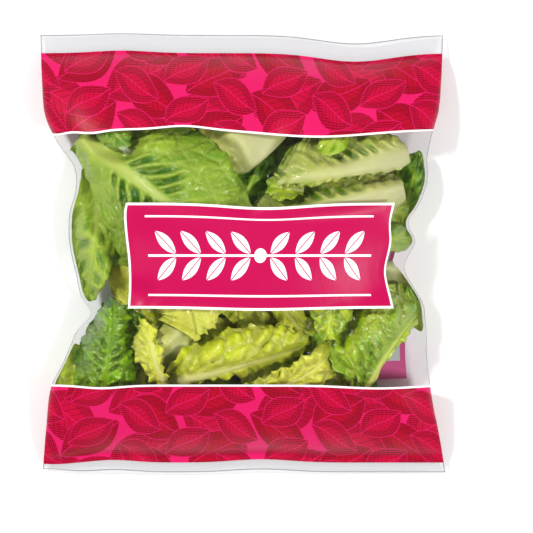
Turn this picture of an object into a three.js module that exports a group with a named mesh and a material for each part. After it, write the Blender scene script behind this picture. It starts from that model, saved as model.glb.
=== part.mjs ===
// A clear pillow bag of salad leaves, lying on its back with the printed front up.
// Millimetres, +Z up. X runs across the bag, Y from its bottom seal to its top seal.
// The origin is on the surface it rests on, under the middle of the bag.
//
// The bag is one closed solid: the film and what it is wrapped around. The film is measured by two
// coordinates of its own: across, 0 at the left side and 1 at the right, and along, the height of
// the print in millimetres. filmPoint turns them into a place in space, on the front or the back.
import * as THREE from "three";
import { mergeGeometries } from "three/addons/utils/BufferGeometryUtils.js";

const { clamp, lerp, smoothstep, degToRad } = THREE.MathUtils;

// Driving sizes
const HALF_LENGTH = 131.5; // middle of the bag to either cut end, along the film
const DEPTH = 56; // front of the filled middle above the table, before the leaves' own lumps
const SIDE_HEIGHT = 25; // widest line of the filled middle above the table
const SEAL_HEIGHT = 9; // flat end seals above the table
const SEAL_DROOP = 5; // how far a cut end hangs below its seal line
const SEAL_THICKNESS = 1.2; // both layers of film, pressed together
const TOP_SEAL = 119; // inner line of the top seal
const BOTTOM_SEAL = -121; // inner line of the bottom seal
const SEAL_BENDS = 0.8; // share of the way to a seal line at which the film starts to hang
const BACK_FLAT = 88; // the back lies flat on the table as far as this from the middle
const BACK_REACH = 1.08; // the flat of the back stops this little short of the bag's sides
const CELL = 5.4; // longest side of a facet's cell
const COLUMNS = 51; // facets across the bag

// How square the filled bag is: powers of the distance from its middle, then of what is left
const LENGTHWISE = { square: 2.5, round: 0.72 };
const CROSSWISE = { square: 2.6, round: 0.44 };
const BACK_SQUARE = 3;
const RELIEF_SQUARE = 5; // leaves and folds fade towards the sides
const SLIDE_SQUARE = 6;
const PUSH_SQUARE = 8; // the pushes at the sides die out towards the middle
const COLUMN_CROWDING = 0.5; // how much closer the columns of facets lie at the bag's sides: 0 to 1

// Print, along the film
const LINE = 1.2; // width of every white line
const TOP_BAND = [74.9, 120.5];
const BOTTOM_BAND = [-125.6, -79.6];
const LABEL = { along: [-32.8, 30.4], across: [0.147, 0.918] };
const BACK_PANEL = { along: [-74, 62], across: [0.56, 0.94] };
const HEM = 1.5; // row of facets along each cut end
const LABEL_SIDE_LINE = 0.01; // share of the film's width

// Left and right sides of the bag as it lies: [along the bag, across it]
const LEFT_SIDE = [
  [-131.5, -119.9], [-104, -117.6], [-80, -114.6], [-64, -106.8], [-49, -101.2], [-24, -98],
  [6, -103.6], [24, -103.6], [38, -99.9], [52, -100.8], [66, -110.4], [82, -118], [100, -120],
  [131.5, -121.3],
];
const RIGHT_SIDE = [
  [-131.5, 122.2], [-108, 118.2], [-88, 114.2], [-62, 111], [-44, 110.4], [-29, 106.4],
  [-12, 101.2], [2, 102.2], [18, 105], [32, 107.6], [46, 110.6], [58, 111.2], [70, 113.6],
  [86, 118], [104, 119.6], [131.5, 120.8],
];

// Where the filled bag's sides are pushed out, or drawn in: [along the bag, half width, push]
const LEFT_PUSHES = [[-36, 8, -8]];
const RIGHT_PUSHES = [
  [-31, 7, 2], [-8, 9, -3.6], [7, 5, 1.6], [19, 8, -5.2], [43, 8, 1],
];

// How far the middle of the print lies to the right of its place between the sides: [along, shift]
const SLIDE = [[-131.5, 0], [-60, 0], [-32, -0.6], [0, 4.8], [29, 2.2], [60, 0], [131.5, 0]];

// Where the film is drawn in along its length, which bends the printed lines
const DRAWN_IN = [
  { x: 68, y: 126, spanX: 30, spanY: 24, pull: 5.4 },
  { x: 46, y: 72, spanX: 44, spanY: 20, pull: 4.4 },
  { x: -72, y: 122, spanX: 22, spanY: 14, pull: -1.6 },
  { x: -113, y: 73, spanX: 9, spanY: 10, pull: 3 },
  { x: -92, y: 73, spanX: 12, spanY: 9, pull: 2.2 },
  { x: -34, y: 73, spanX: 18, spanY: 10, pull: -2.2 },
  { x: 12, y: 29, spanX: 32, spanY: 14, pull: 2.8 },
  { x: 13, y: -33, spanX: 40, spanY: 12, pull: 1.4 },
  { x: -84, y: -80, spanX: 16, spanY: 14, pull: 1.6 },
  { x: 82, y: -80, spanX: 28, spanY: 14, pull: 1.7 },
  { x: -77, y: -127, spanX: 17, spanY: 12, pull: -1.6 },
  { x: -114, y: -121, spanX: 14, spanY: 6, pull: 2.6 },
  { x: -118, y: -133, spanX: 16, spanY: 6, pull: -2.2 },
  { x: 12, y: -127, spanX: 24, spanY: 12, pull: -2 },
];

// The leaves that push the front film out, and the hollows between them with a negative lift.
// Each is an oval: its middle, half its length and width, its turn in degrees and its colour.
const OLIVE = 0x6d8c2a;
const LEAF_LUMPS = [
  { name: "upper left leaf", x: -50, y: 48, long: 52, wide: 30, turn: -30, lift: 6, tint: 0x7fae3a },
  { name: "left lobe", x: -88, y: 5, long: 38, wide: 17, turn: 84, lift: 5.5, tint: 0x9ab84a },
  { name: "pale top leaf", x: -2, y: 66, long: 17, wide: 14, turn: -50, lift: 2, tint: 0xd2d3a1 },
  { name: "upper rib leaf", x: 64, y: 59, long: 43, wide: 13, turn: 9, lift: 4.5, tint: 0xc3cf7c },
  { name: "upper rib", x: 66, y: 53, long: 36, wide: 5, turn: 8, lift: 1.8, tint: 0xd6dcae },
  { name: "second rib leaf", x: 56, y: 35, long: 48, wide: 11, turn: 9, lift: 3.5, tint: 0xc1c595 },
  { name: "second rib", x: 66, y: 35, long: 34, wide: 5, turn: 12, lift: 1.6, tint: 0xd6dcae },
  { name: "right dark leaf", x: 100, y: 36, long: 25, wide: 11, turn: 80, lift: 4, tint: 0x3f8f24 },
  { name: "label rest", x: 12, y: 0, long: 62, wide: 28, turn: 0, lift: 3, tint: 0x6fa32a },
  { name: "lower left leaf", x: -80, y: -58, long: 28, wide: 22, turn: 86, lift: 7.5, tint: 0x3c7d22 },
  { name: "curled yellow leaf", x: -56, y: -58, long: 17, wide: 7, turn: -84, lift: 3, tint: 0xcfcf5e },
  { name: "olive leaf", x: -27, y: -42, long: 20, wide: 10, turn: 0, lift: 2, tint: OLIVE },
  { name: "lower middle leaf", x: -4, y: -60, long: 42, wide: 14, turn: 10, lift: 5, tint: 0xcbcc50 },
  { name: "curved leaf", x: 38, y: -66, long: 32, wide: 9, turn: 34, lift: 3, tint: 0xa2b33e },
  { name: "lower right leaf", x: 86, y: -53, long: 33, wide: 21, turn: 50, lift: 7.5, tint: 0x9eb339 },
  { name: "hollow by the left lobe", x: -68, y: -28, long: 15, wide: 10, turn: 20, lift: -4, tint: OLIVE },
  { name: "hollow by the top leaf", x: 12, y: 50, long: 24, wide: 9, turn: 68, lift: -4, tint: 0x435825 },
  { name: "hollow by the curved leaf", x: 52, y: -46, long: 16, wide: 9, turn: 50, lift: -3, tint: OLIVE },
  { name: "hollow at the right", x: 98, y: -14, long: 16, wide: 8, turn: 80, lift: -3, tint: 0xc8ceb0 },
];

// How the cut ends wave up and down: [across, half width, height]
const TOP_WAVES = [[68, 30, 2.6], [-72, 24, -1.2]];
const BOTTOM_WAVES = [[-77, 22, 2.2], [12, 26, 1.4], [84, 24, -1.2]];

// Folds that gather the film as it runs out from a seal: [across, half width, height]
const GATHERS = [
  [-94, 9, 2.2], [-74, 7, -1.8], [-52, 9, 1.8], [-30, 8, -1.4], [-9, 10, 1.6], [14, 8, -1.8],
  [37, 9, 2.2], [57, 8, -2.4], [78, 9, 2.4], [98, 7, -1.6],
];
const GATHER_RISE = [-4, 12]; // a fold grows between these distances inside the seal line
const GATHER_FADE = [18, 58]; // and dies out between these
const GATHER_FAN = 0.0016; // the folds spread by this share for each millimetre that they run
const BOTTOM_FOLDS = -0.8; // the folds of the bottom seal fall between those of the top

const COLOURS = {
  film: new THREE.Color(0xe9ebea),
  print: new THREE.Color(0xd9175c),
  line: new THREE.Color(0xf6f6f6),
  leaves: new THREE.Color(0x86ab35),
};

// A smooth curve through points [at, value] that are in order: Catmull-Rom with uneven steps
function through(points, at) {
  const last = points.length - 1;
  let k = 0;
  while (k < last - 1 && at > points[k + 1][0]) k += 1;
  const [x0, y0] = points[k];
  const [x1, y1] = points[k + 1];
  const slope = (a, b) => (points[b][1] - points[a][1]) / (points[b][0] - points[a][0]);
  const m0 = slope(Math.max(k - 1, 0), k + 1) * (x1 - x0);
  const m1 = slope(k, Math.min(k + 2, last)) * (x1 - x0);
  const t = clamp((at - x0) / (x1 - x0), 0, 1);
  const t2 = t * t;
  const t3 = t2 * t;
  return (2 * t3 - 3 * t2 + 1) * y0 + (t3 - 2 * t2 + t) * m0 + (3 * t2 - 2 * t3) * y1 + (t3 - t2) * m1;
}

// A round hump of height 1 that has all but gone at twice its spans
const hump = (dx, dy, spanX, spanY) => Math.exp(-((dx / spanX) ** 2) - (dy / spanY) ** 2);

// The height of a row of waves, folds or pushes at a place along the row
const ripple = (waves, x) =>
  waves.reduce((sum, [at, span, lift]) => sum + lift * hump(x - at, 0, span, 1), 0);

// Eases from 0 to 1 as the value goes from low to high
const ease = (value, [low, high]) => smoothstep(value, low, high);

// How full the bag is at this height of the print: 0 from the seals outwards, 1 in the middle
function fullness(along) {
  const reach = along > 0 ? along / TOP_SEAL : along / BOTTOM_SEAL;
  return Math.max(0, 1 - Math.abs(reach) ** LENGTHWISE.square) ** LENGTHWISE.round;
}

// The height of the flat seals, which hang and wave out to their cut edge
function sealHeight(x, along) {
  const start = (along > 0 ? TOP_SEAL : -BOTTOM_SEAL) * SEAL_BENDS;
  const out = clamp((Math.abs(along) - start) / (HALF_LENGTH - start), 0, 1);
  return SEAL_HEIGHT - SEAL_DROOP * out * out + ripple(along > 0 ? TOP_WAVES : BOTTOM_WAVES, x) * out;
}

// How far a leaf or hollow reaches at this place: 1 at its middle, and steep at its edge
function lumpReach(lump, x, y) {
  const turn = degToRad(lump.turn);
  const dx = x - lump.x;
  const dy = y - lump.y;
  const along = (dx * Math.cos(turn) + dy * Math.sin(turn)) / lump.long;
  const aside = (dy * Math.cos(turn) - dx * Math.sin(turn)) / lump.wide;
  return Math.exp(-((along * along + aside * aside) ** 2));
}

// The folds of the film, which run out from the seals
function gatherHeight(x, along) {
  const from = (along > 0 ? TOP_SEAL : -BOTTOM_SEAL) - Math.abs(along);
  const strength = ease(from, GATHER_RISE) * (1 - ease(from, GATHER_FADE));
  const fan = 1 + GATHER_FAN * from;
  return strength * (along > 0 ? 1 : BOTTOM_FOLDS) * ripple(GATHERS, x / fan);
}

// Where a point of the film lies
function filmPoint(across, along, front) {
  const nominal = lerp(through(LEFT_SIDE, along), through(RIGHT_SIDE, along), across);
  const pull = DRAWN_IN.reduce((sum, d) =>
    sum + d.pull * hump(nominal - d.x, along - d.y, d.spanX, d.spanY), 0);
  const y = along - pull;
  const sideways = Math.abs(2 * across - 1);
  const slide = through(SLIDE, y) * (1 - sideways ** SLIDE_SQUARE);
  const push = (across > 0.5 ? ripple(RIGHT_PUSHES, y) : -ripple(LEFT_PUSHES, y)) * sideways ** PUSH_SQUARE;
  const x = lerp(through(LEFT_SIDE, y), through(RIGHT_SIDE, y), across) + slide + push;

  const full = fullness(along);
  const seal = sealHeight(x, along);
  const rim = sideways === 1 || Math.abs(along) === HALF_LENGTH;
  const skin = rim ? 0 : SEAL_THICKNESS / 2;
  const side = lerp(seal, SIDE_HEIGHT, full);
  if (front) {
    const bulge = (1 - sideways ** CROSSWISE.square) ** CROSSWISE.round;
    const lumps = LEAF_LUMPS.reduce((sum, lump) => sum + lump.lift * lumpReach(lump, x, y), 0);
    const relief = (lumps * Math.sqrt(full) + gatherHeight(x, along)) * (1 - sideways ** RELIEF_SQUARE);
    return new THREE.Vector3(x, y, side + (DEPTH - SIDE_HEIGHT) * full * bulge + relief + skin);
  }
  const flat = 1 - smoothstep(Math.abs(along), BACK_FLAT, TOP_SEAL);
  const bulge = clamp(BACK_REACH * Math.sqrt(1 - sideways ** BACK_SQUARE), 0, 1);
  return new THREE.Vector3(x, y, lerp(side - skin, (seal - skin) * (1 - flat), bulge));
}

// Heights of the print at which the rows of facets lie, so that every printed line is an edge
function rowHeights() {
  const lines = [-HALF_LENGTH, -HALF_LENGTH + HEM, ...BOTTOM_BAND, BOTTOM_BAND[1] + LINE,
    ...LABEL.along, LABEL.along[0] + LINE, LABEL.along[1] - LINE, ...TOP_BAND, TOP_BAND[0] - LINE,
    HALF_LENGTH - HEM, HALF_LENGTH].sort((a, b) => a - b);
  const rows = [lines[0]];
  for (let k = 1; k < lines.length; k += 1) {
    const steps = Math.ceil((lines[k] - lines[k - 1]) / CELL);
    for (let i = 1; i <= steps; i += 1) rows.push(lerp(lines[k - 1], lines[k], i / steps));
  }
  return rows;
}

// Places across the film of the columns: closer at the sides, where the film turns round the bag
const columnPlace = (t) => lerp(t, 0.5 - 0.5 * Math.cos(Math.PI * t), COLUMN_CROWDING);

const between = (value, [low, high], inset = 0) => value > low + inset && value < high - inset;

// The colour that shows at a place on the film
function printColour(across, along, front, place) {
  if (!between(along, [BOTTOM_BAND[0], TOP_BAND[1]])) return COLOURS.film;
  if (between(along, TOP_BAND) || between(along, BOTTOM_BAND)) return COLOURS.print;
  if (between(along, [BOTTOM_BAND[1] + LINE, TOP_BAND[0] - LINE]) === false) return COLOURS.line;
  const panel = front ? LABEL : BACK_PANEL;
  if (between(along, panel.along) && between(across, panel.across)) {
    const edge = !between(along, panel.along, LINE) || !between(across, panel.across, LABEL_SIDE_LINE);
    return edge ? COLOURS.line : COLOURS.print;
  }
  const nearest = LEAF_LUMPS.reduce((best, lump) => {
    const reach = lumpReach(lump, place.x, place.y);
    return reach > best.reach ? { reach, tint: lump.tint } : best;
  }, { reach: 0.25, tint: null });
  return front && nearest.tint !== null ? new THREE.Color(nearest.tint) : COLOURS.leaves;
}

// One layer of the film: a plane's grid laid over the front or the back of the bag
function filmLayer(front) {
  const rows = rowHeights();
  const plane = new THREE.PlaneGeometry(1, 1, COLUMNS, rows.length - 1);
  if (!front) {
    for (let i = 0; i < plane.index.count; i += 3) {
      const first = plane.index.getX(i);
      plane.index.setX(i, plane.index.getX(i + 1));
      plane.index.setX(i + 1, first);
    }
  }
  const grid = plane.toNonIndexed();
  const spot = grid.getAttribute("position");
  const colours = new Float32Array(spot.count * 3);
  const film = [];
  for (let i = 0; i < spot.count; i += 1) {
    const across = columnPlace(clamp(spot.getX(i) + 0.5, 0, 1));
    const along = rows[Math.round((spot.getY(i) + 0.5) * (rows.length - 1))];
    film.push({ across, along, place: filmPoint(across, along, front) });
    spot.setXYZ(i, ...film[i].place);
  }
  for (let i = 0; i < spot.count; i += 3) {
    const face = film.slice(i, i + 3);
    const middle = (key) => (face[0][key] + face[1][key] + face[2][key]) / 3;
    const colour = printColour(middle("across"), middle("along"), front, face[0].place);
    for (let corner = 0; corner < 3; corner += 1) colour.toArray(colours, (i + corner) * 3);
  }
  grid.setAttribute("color", new THREE.BufferAttribute(colours, 3));
  return grid;
}

const bagShape = mergeGeometries([filmLayer(true), filmLayer(false)]);
bagShape.computeBoundingBox();
const middle = bagShape.boundingBox.getCenter(new THREE.Vector3());
bagShape.translate(-middle.x, -middle.y, -bagShape.boundingBox.min.z);
bagShape.computeVertexNormals();

const bag = new THREE.Mesh(
  bagShape,
  new THREE.MeshStandardMaterial({ vertexColors: true, roughness: 0.22, metalness: 0 }),
);
bag.name = "salad_bag";

const model = new THREE.Group();
model.name = "bag_of_salad_leaves";
model.add(bag);

export default model;
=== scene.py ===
"""A clear pillow bag of salad leaves: printed film drawn over a heap of loose lettuce leaves.

Metres, +Z up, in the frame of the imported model. The bag lies on its back with the print up. The film is
measured in its own coordinates, as in the solid: across, 0 to 1, and along, the height of the print.
"""

import logging
import math
from dataclasses import dataclass, field
from enum import Enum

import bmesh
import bpy
import numpy as np
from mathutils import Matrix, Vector
from mathutils.bvhtree import BVHTree


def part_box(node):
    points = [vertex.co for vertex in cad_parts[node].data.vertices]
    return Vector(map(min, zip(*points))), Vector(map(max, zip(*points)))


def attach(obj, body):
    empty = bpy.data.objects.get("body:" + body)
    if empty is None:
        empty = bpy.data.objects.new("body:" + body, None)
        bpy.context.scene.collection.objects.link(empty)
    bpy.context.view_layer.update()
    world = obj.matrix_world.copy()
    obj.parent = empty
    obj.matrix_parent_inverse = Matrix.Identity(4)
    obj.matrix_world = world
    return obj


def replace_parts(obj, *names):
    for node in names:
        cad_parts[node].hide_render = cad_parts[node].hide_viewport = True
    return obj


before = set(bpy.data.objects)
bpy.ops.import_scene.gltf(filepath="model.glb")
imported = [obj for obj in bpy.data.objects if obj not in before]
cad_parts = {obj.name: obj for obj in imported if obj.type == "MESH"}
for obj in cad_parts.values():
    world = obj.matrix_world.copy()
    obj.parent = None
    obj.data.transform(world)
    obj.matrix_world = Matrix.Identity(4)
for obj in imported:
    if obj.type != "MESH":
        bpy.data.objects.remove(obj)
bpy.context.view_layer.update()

LOG = logging.getLogger("salad_bag")
MM = 0.001
TINY = 1e-6  # a length or share under this is none
STRAIGHT = 1e-3  # a bend of fewer radians is none
BAG_NODE = "salad_bag"
BODY = "root"
Array = np.ndarray


def through(points: tuple[tuple[float, float], ...], at: Array) -> Array:
    """Reads a smooth curve through points: Catmull-Rom with uneven steps.

    Args:
        points: pairs of place and value, in order of place.
        at: the places to read.

    Returns:
        The curve's value at each place.
    """
    xs, ys = np.array(points, float).T
    k = np.clip(np.searchsorted(xs, at) - 1, 0, len(xs) - 2)
    before, after = np.maximum(k - 1, 0), np.minimum(k + 2, len(xs) - 1)
    step = xs[k + 1] - xs[k]
    m0 = (ys[k + 1] - ys[before]) / (xs[k + 1] - xs[before]) * step
    m1 = (ys[after] - ys[k]) / (xs[after] - xs[k]) * step
    t = np.clip((at - xs[k]) / step, 0, 1)
    rise = 3 * t**2 - 2 * t**3
    return (1 - rise) * ys[k] + rise * ys[k + 1] + (t**3 - 2 * t**2 + t) * m0 + (t**3 - t**2) * m1


def smoothstep(value: Array, low: float, high: float) -> Array:
    """Eases from 0 at low to 1 at high."""
    t = np.clip((value - low) / (high - low), 0, 1)
    return t * t * (3 - 2 * t)


def hump(dx: Array, dy: Array, span_x: float, span_y: float) -> Array:
    """Gives a round hump of height 1 that has all but gone at twice its spans."""
    return np.exp(-((dx / span_x) ** 2) - (dy / span_y) ** 2)


def ripple(waves: tuple[tuple[float, float, float], ...], x: Array) -> Array:
    """Adds up waves, folds or pushes, each a middle, a half width and a height."""
    return sum(lift * hump(x - at, 0, span, 1) for at, span, lift in waves)


def linear(red: int, green: int, blue: int) -> tuple[float, float, float, float]:
    """Turns a screen colour, 0 to 255, into the renderer's linear one."""
    shares = (channel / 255 for channel in (red, green, blue))
    return tuple(c / 12.92 if c <= 0.04045 else ((c + 0.055) / 1.055) ** 2.4 for c in shares) + (1.0,)


def mesh_of(bm: bmesh.types.BMesh, name: str) -> bpy.types.Mesh:
    """Turns a bmesh into a mesh and lets the bmesh go.

    Args:
        bm: the bmesh.
        name: the mesh's name.

    Returns:
        The mesh.
    """
    mesh = bpy.data.meshes.new(name)
    bm.to_mesh(mesh)
    bm.free()
    return mesh


def put_in_scene(name: str, data: bpy.types.ID) -> bpy.types.Object:
    """Makes an object of a mesh, a lamp or a camera and puts it in the scene.

    Args:
        name: the object's name.
        data: the mesh, the lamp or the camera.

    Returns:
        The object.
    """
    thing = bpy.data.objects.new(name, data)
    bpy.context.scene.collection.objects.link(thing)
    return thing


def read_places(mesh: bpy.types.Mesh) -> Array:
    """Reads a mesh's vertices, one row each.

    Args:
        mesh: the mesh.

    Returns:
        Each vertex's place in metres.
    """
    places = np.zeros(len(mesh.vertices) * 3, np.float32)
    mesh.vertices.foreach_get("co", places)
    return places.reshape(-1, 3).astype(float)


def write_places(mesh: bpy.types.Mesh, places: Array) -> None:
    """Moves a mesh's vertices."""
    mesh.vertices.foreach_set("co", places.astype(np.float32).ravel())
    mesh.update()


def spread_flat(mesh: bpy.types.Mesh, name: str, across: Array, along: Array) -> Array:
    """Writes a mesh's flat coordinates.

    Args:
        mesh: the mesh.
        name: the name of the coordinates.
        across: each vertex's millimetres across.
        along: each vertex's millimetres along.

    Returns:
        Which vertex each corner of a face is.
    """
    corner = np.zeros(len(mesh.loops), np.int32)
    mesh.loops.foreach_get("vertex_index", corner)
    uv = np.column_stack([across, along])[corner] * MM
    mesh.uv_layers.new(name=name).data.foreach_set("uv", uv.astype(np.float32).ravel())
    return corner


def piece(name: str, mesh: bpy.types.Mesh, finishes: list) -> bpy.types.Object:
    """Makes a piece of the bag of a mesh: smooth, with its materials and riding on the bag's body.

    Args:
        name: the piece's name.
        mesh: its mesh.
        finishes: its materials, in the order in which its faces count them.

    Returns:
        The piece.
    """
    for material in finishes:
        mesh.materials.append(material)
    mesh.polygons.foreach_set("use_smooth", [True] * len(mesh.polygons))
    thing = put_in_scene(name, mesh)
    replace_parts(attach(thing, BODY), BAG_NODE)
    return thing


@dataclass(frozen=True)
class Pull:
    """A place where the film is drawn in along its length, which bends the printed lines. Millimetres."""

    x: float
    y: float
    span_x: float
    span_y: float
    pull: float


@dataclass(frozen=True)
class Lump:
    """A leaf that pushes the front film out, or a hollow with a negative lift. Millimetres and degrees."""

    x: float
    y: float
    long: float
    wide: float
    turn: float
    lift: float

    def height(self, x: Array, y: Array) -> Array:
        """Gives how far the film is pushed out at these places.

        Args:
            x: places across the bag.
            y: places along it.

        Returns:
            The heights in millimetres.
        """
        turn = math.radians(self.turn)
        dx, dy = x - self.x, y - self.y
        along = (dx * math.cos(turn) + dy * math.sin(turn)) / self.long
        aside = (dy * math.cos(turn) - dx * math.sin(turn)) / self.wide
        return self.lift * np.exp(-((along**2 + aside**2) ** 2))


@dataclass(frozen=True)
class BagForm:
    """The outer form of the filled bag, the same as the solid's. Its own sizes are in millimetres."""

    half_length: float = 131.5
    depth: float = 56
    side_height: float = 25
    seal_height: float = 9
    seal_droop: float = 5
    seal_thickness: float = 1.2
    top_seal: float = 119
    bottom_seal: float = -121
    seal_bends: float = 0.8
    back_flat: float = 88
    back_reach: float = 1.08
    film_width: float = 241
    lengthwise: tuple[float, float] = (2.5, 0.72)
    crosswise: tuple[float, float] = (2.6, 0.44)
    back_square: float = 3
    relief_square: float = 5
    slide_square: float = 6
    left_side: tuple = (
        (-131.5, -119.9), (-104, -117.6), (-80, -114.6), (-64, -106.8), (-49, -101.2), (-24, -98),
        (6, -103.6), (24, -103.6), (38, -99.9), (52, -100.8), (66, -110.4), (82, -118), (100, -120),
        (131.5, -121.3),
    )
    right_side: tuple = (
        (-131.5, 122.2), (-108, 118.2), (-88, 114.2), (-62, 111), (-44, 110.4), (-29, 106.4),
        (-12, 101.2), (2, 102.2), (18, 105), (32, 107.6), (46, 110.6), (58, 111.2), (70, 113.6),
        (86, 118), (104, 119.6), (131.5, 120.8),
    )
    left_pushes: tuple = ((-36, 8, -8),)
    right_pushes: tuple = ((-31, 7, 2), (-8, 9, -3.6), (7, 5, 1.6), (19, 8, -5.2), (43, 8, 1))
    push_square: float = 8
    drawn_in: tuple[Pull, ...] = (
        Pull(68, 126, 30, 24, 5.4), Pull(46, 72, 44, 20, 4.4), Pull(-72, 122, 22, 14, -1.6),
        Pull(-113, 73, 9, 10, 3), Pull(-92, 73, 12, 9, 2.2), Pull(-34, 73, 18, 10, -2.2),
        Pull(12, 29, 32, 14, 2.8), Pull(13, -33, 40, 12, 1.4), Pull(-84, -80, 16, 14, 1.6),
        Pull(82, -80, 28, 14, 1.7), Pull(-77, -127, 17, 12, -1.6), Pull(-114, -121, 14, 6, 2.6),
        Pull(-118, -133, 16, 6, -2.2), Pull(12, -127, 24, 12, -2),
    )
    lumps: tuple[Lump, ...] = (
        Lump(-50, 48, 52, 30, -30, 6), Lump(-88, 5, 38, 17, 84, 5.5), Lump(-2, 66, 17, 14, -50, 2),
        Lump(64, 59, 43, 13, 9, 4.5), Lump(66, 53, 36, 5, 8, 1.8), Lump(56, 35, 48, 11, 9, 3.5),
        Lump(66, 35, 34, 5, 12, 1.6), Lump(100, 36, 25, 11, 80, 4), Lump(12, 0, 62, 28, 0, 3),
        Lump(-80, -58, 28, 22, 86, 7.5), Lump(-56, -58, 17, 7, -84, 3), Lump(-27, -42, 20, 10, 0, 2),
        Lump(-4, -60, 42, 14, 10, 5), Lump(38, -66, 32, 9, 34, 3), Lump(86, -53, 33, 21, 50, 7.5),
        Lump(-68, -28, 15, 10, 20, -4), Lump(12, 50, 24, 9, 68, -4), Lump(52, -46, 16, 9, 50, -3),
        Lump(98, -14, 16, 8, 80, -3),
    )
    slide: tuple = ((-131.5, 0), (-60, 0), (-32, -0.6), (0, 4.8), (29, 2.2), (60, 0), (131.5, 0))
    gathers: tuple = (
        (-94, 9, 2.2), (-74, 7, -1.8), (-52, 9, 1.8), (-30, 8, -1.4), (-9, 10, 1.6), (14, 8, -1.8),
        (37, 9, 2.2), (57, 8, -2.4), (78, 9, 2.4), (98, 7, -1.6),
    )
    gather_rise: tuple[float, float] = (-4, 12)
    gather_fade: tuple[float, float] = (18, 58)
    gather_fan: float = 0.0016
    bottom_folds: float = -0.8
    top_waves: tuple = ((68, 30, 2.6), (-72, 24, -1.2))
    bottom_waves: tuple = ((-77, 22, 2.2), (12, 26, 1.4), (84, 24, -1.2))

    def sides(self, y: Array) -> tuple[Array, Array]:
        """Gives how far the filled bag reaches to the left and to the right."""
        left = through(self.left_side, y) - ripple(self.left_pushes, y)
        return left, through(self.right_side, y) + ripple(self.right_pushes, y)

    def fullness(self, along: Array) -> Array:
        """Gives how full the bag is: 0 from the seals outwards, 1 in the middle.

        Args:
            along: heights of the print.

        Returns:
            The fullness there.
        """
        reach = np.where(along > 0, along / self.top_seal, along / self.bottom_seal)
        square, roundness = self.lengthwise
        return np.maximum(0, 1 - np.abs(reach) ** square) ** roundness

    def seal(self, x: Array, along: Array) -> Array:
        """Gives the height of the flat end seals, which hang and wave out to their cut edge.

        Args:
            x: places across the bag.
            along: heights of the print.

        Returns:
            The heights in millimetres.
        """
        start = np.where(along > 0, self.top_seal, -self.bottom_seal) * self.seal_bends
        out = np.clip((np.abs(along) - start) / (self.half_length - start), 0, 1)
        wave = np.where(along > 0, ripple(self.top_waves, x), ripple(self.bottom_waves, x))
        return self.seal_height - self.seal_droop * out**2 + wave * out

    def gather(self, x: Array, along: Array) -> Array:
        """Gives the height of the folds that run out from the seals.

        Args:
            x: places across the bag.
            along: heights of the print.

        Returns:
            The heights in millimetres.
        """
        inside = np.where(along > 0, self.top_seal, -self.bottom_seal) - np.abs(along)
        strength = smoothstep(inside, *self.gather_rise) * (1 - smoothstep(inside, *self.gather_fade))
        fan = 1 + self.gather_fan * inside
        return strength * np.where(along > 0, 1, self.bottom_folds) * ripple(self.gathers, x / fan)

    def place(self, across: Array, along: Array, front: bool) -> tuple[Array, Array, Array]:
        """Finds where a point of the film lies.

        Args:
            across: 0 at the bag's left side, 1 at its right.
            along: the height of the print.
            front: whether the point is on the front of the bag.

        Returns:
            The point's x, y and z.
        """
        left, right = through(self.left_side, along), through(self.right_side, along)
        nominal = left + (right - left) * across
        pulls = (d.pull * hump(nominal - d.x, along - d.y, d.span_x, d.span_y) for d in self.drawn_in)
        y = along - sum(pulls)
        left, right = through(self.left_side, y), through(self.right_side, y)
        sideways = np.minimum(np.abs(2 * across - 1), 1)
        x = left + (right - left) * across + through(self.slide, y) * (1 - sideways**self.slide_square)
        push = np.where(across > 0.5, ripple(self.right_pushes, y), -ripple(self.left_pushes, y))
        x = x + push * sideways**self.push_square
        full, seal = self.fullness(along), self.seal(x, along)
        rim = (sideways > 1 - TINY) | (np.abs(along) > self.half_length - TINY)
        skin = np.where(rim, 0, self.seal_thickness / 2)
        side = seal + (self.side_height - seal) * full
        if front:
            square, roundness = self.crosswise
            bulge = (1 - sideways**square) ** roundness
            lumps = sum(lump.height(x, y) for lump in self.lumps)
            relief = (lumps * np.sqrt(full) + self.gather(x, along)) * (1 - sideways**self.relief_square)
            return x, y, side + (self.depth - self.side_height) * full * bulge + relief + skin
        flat = 1 - smoothstep(np.abs(along), self.back_flat, self.top_seal)
        bulge = np.clip(self.back_reach * np.sqrt(1 - sideways**self.back_square), 0, 1)
        return x, y, (side - skin) * (1 - bulge) + (seal - skin) * (1 - flat) * bulge


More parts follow.
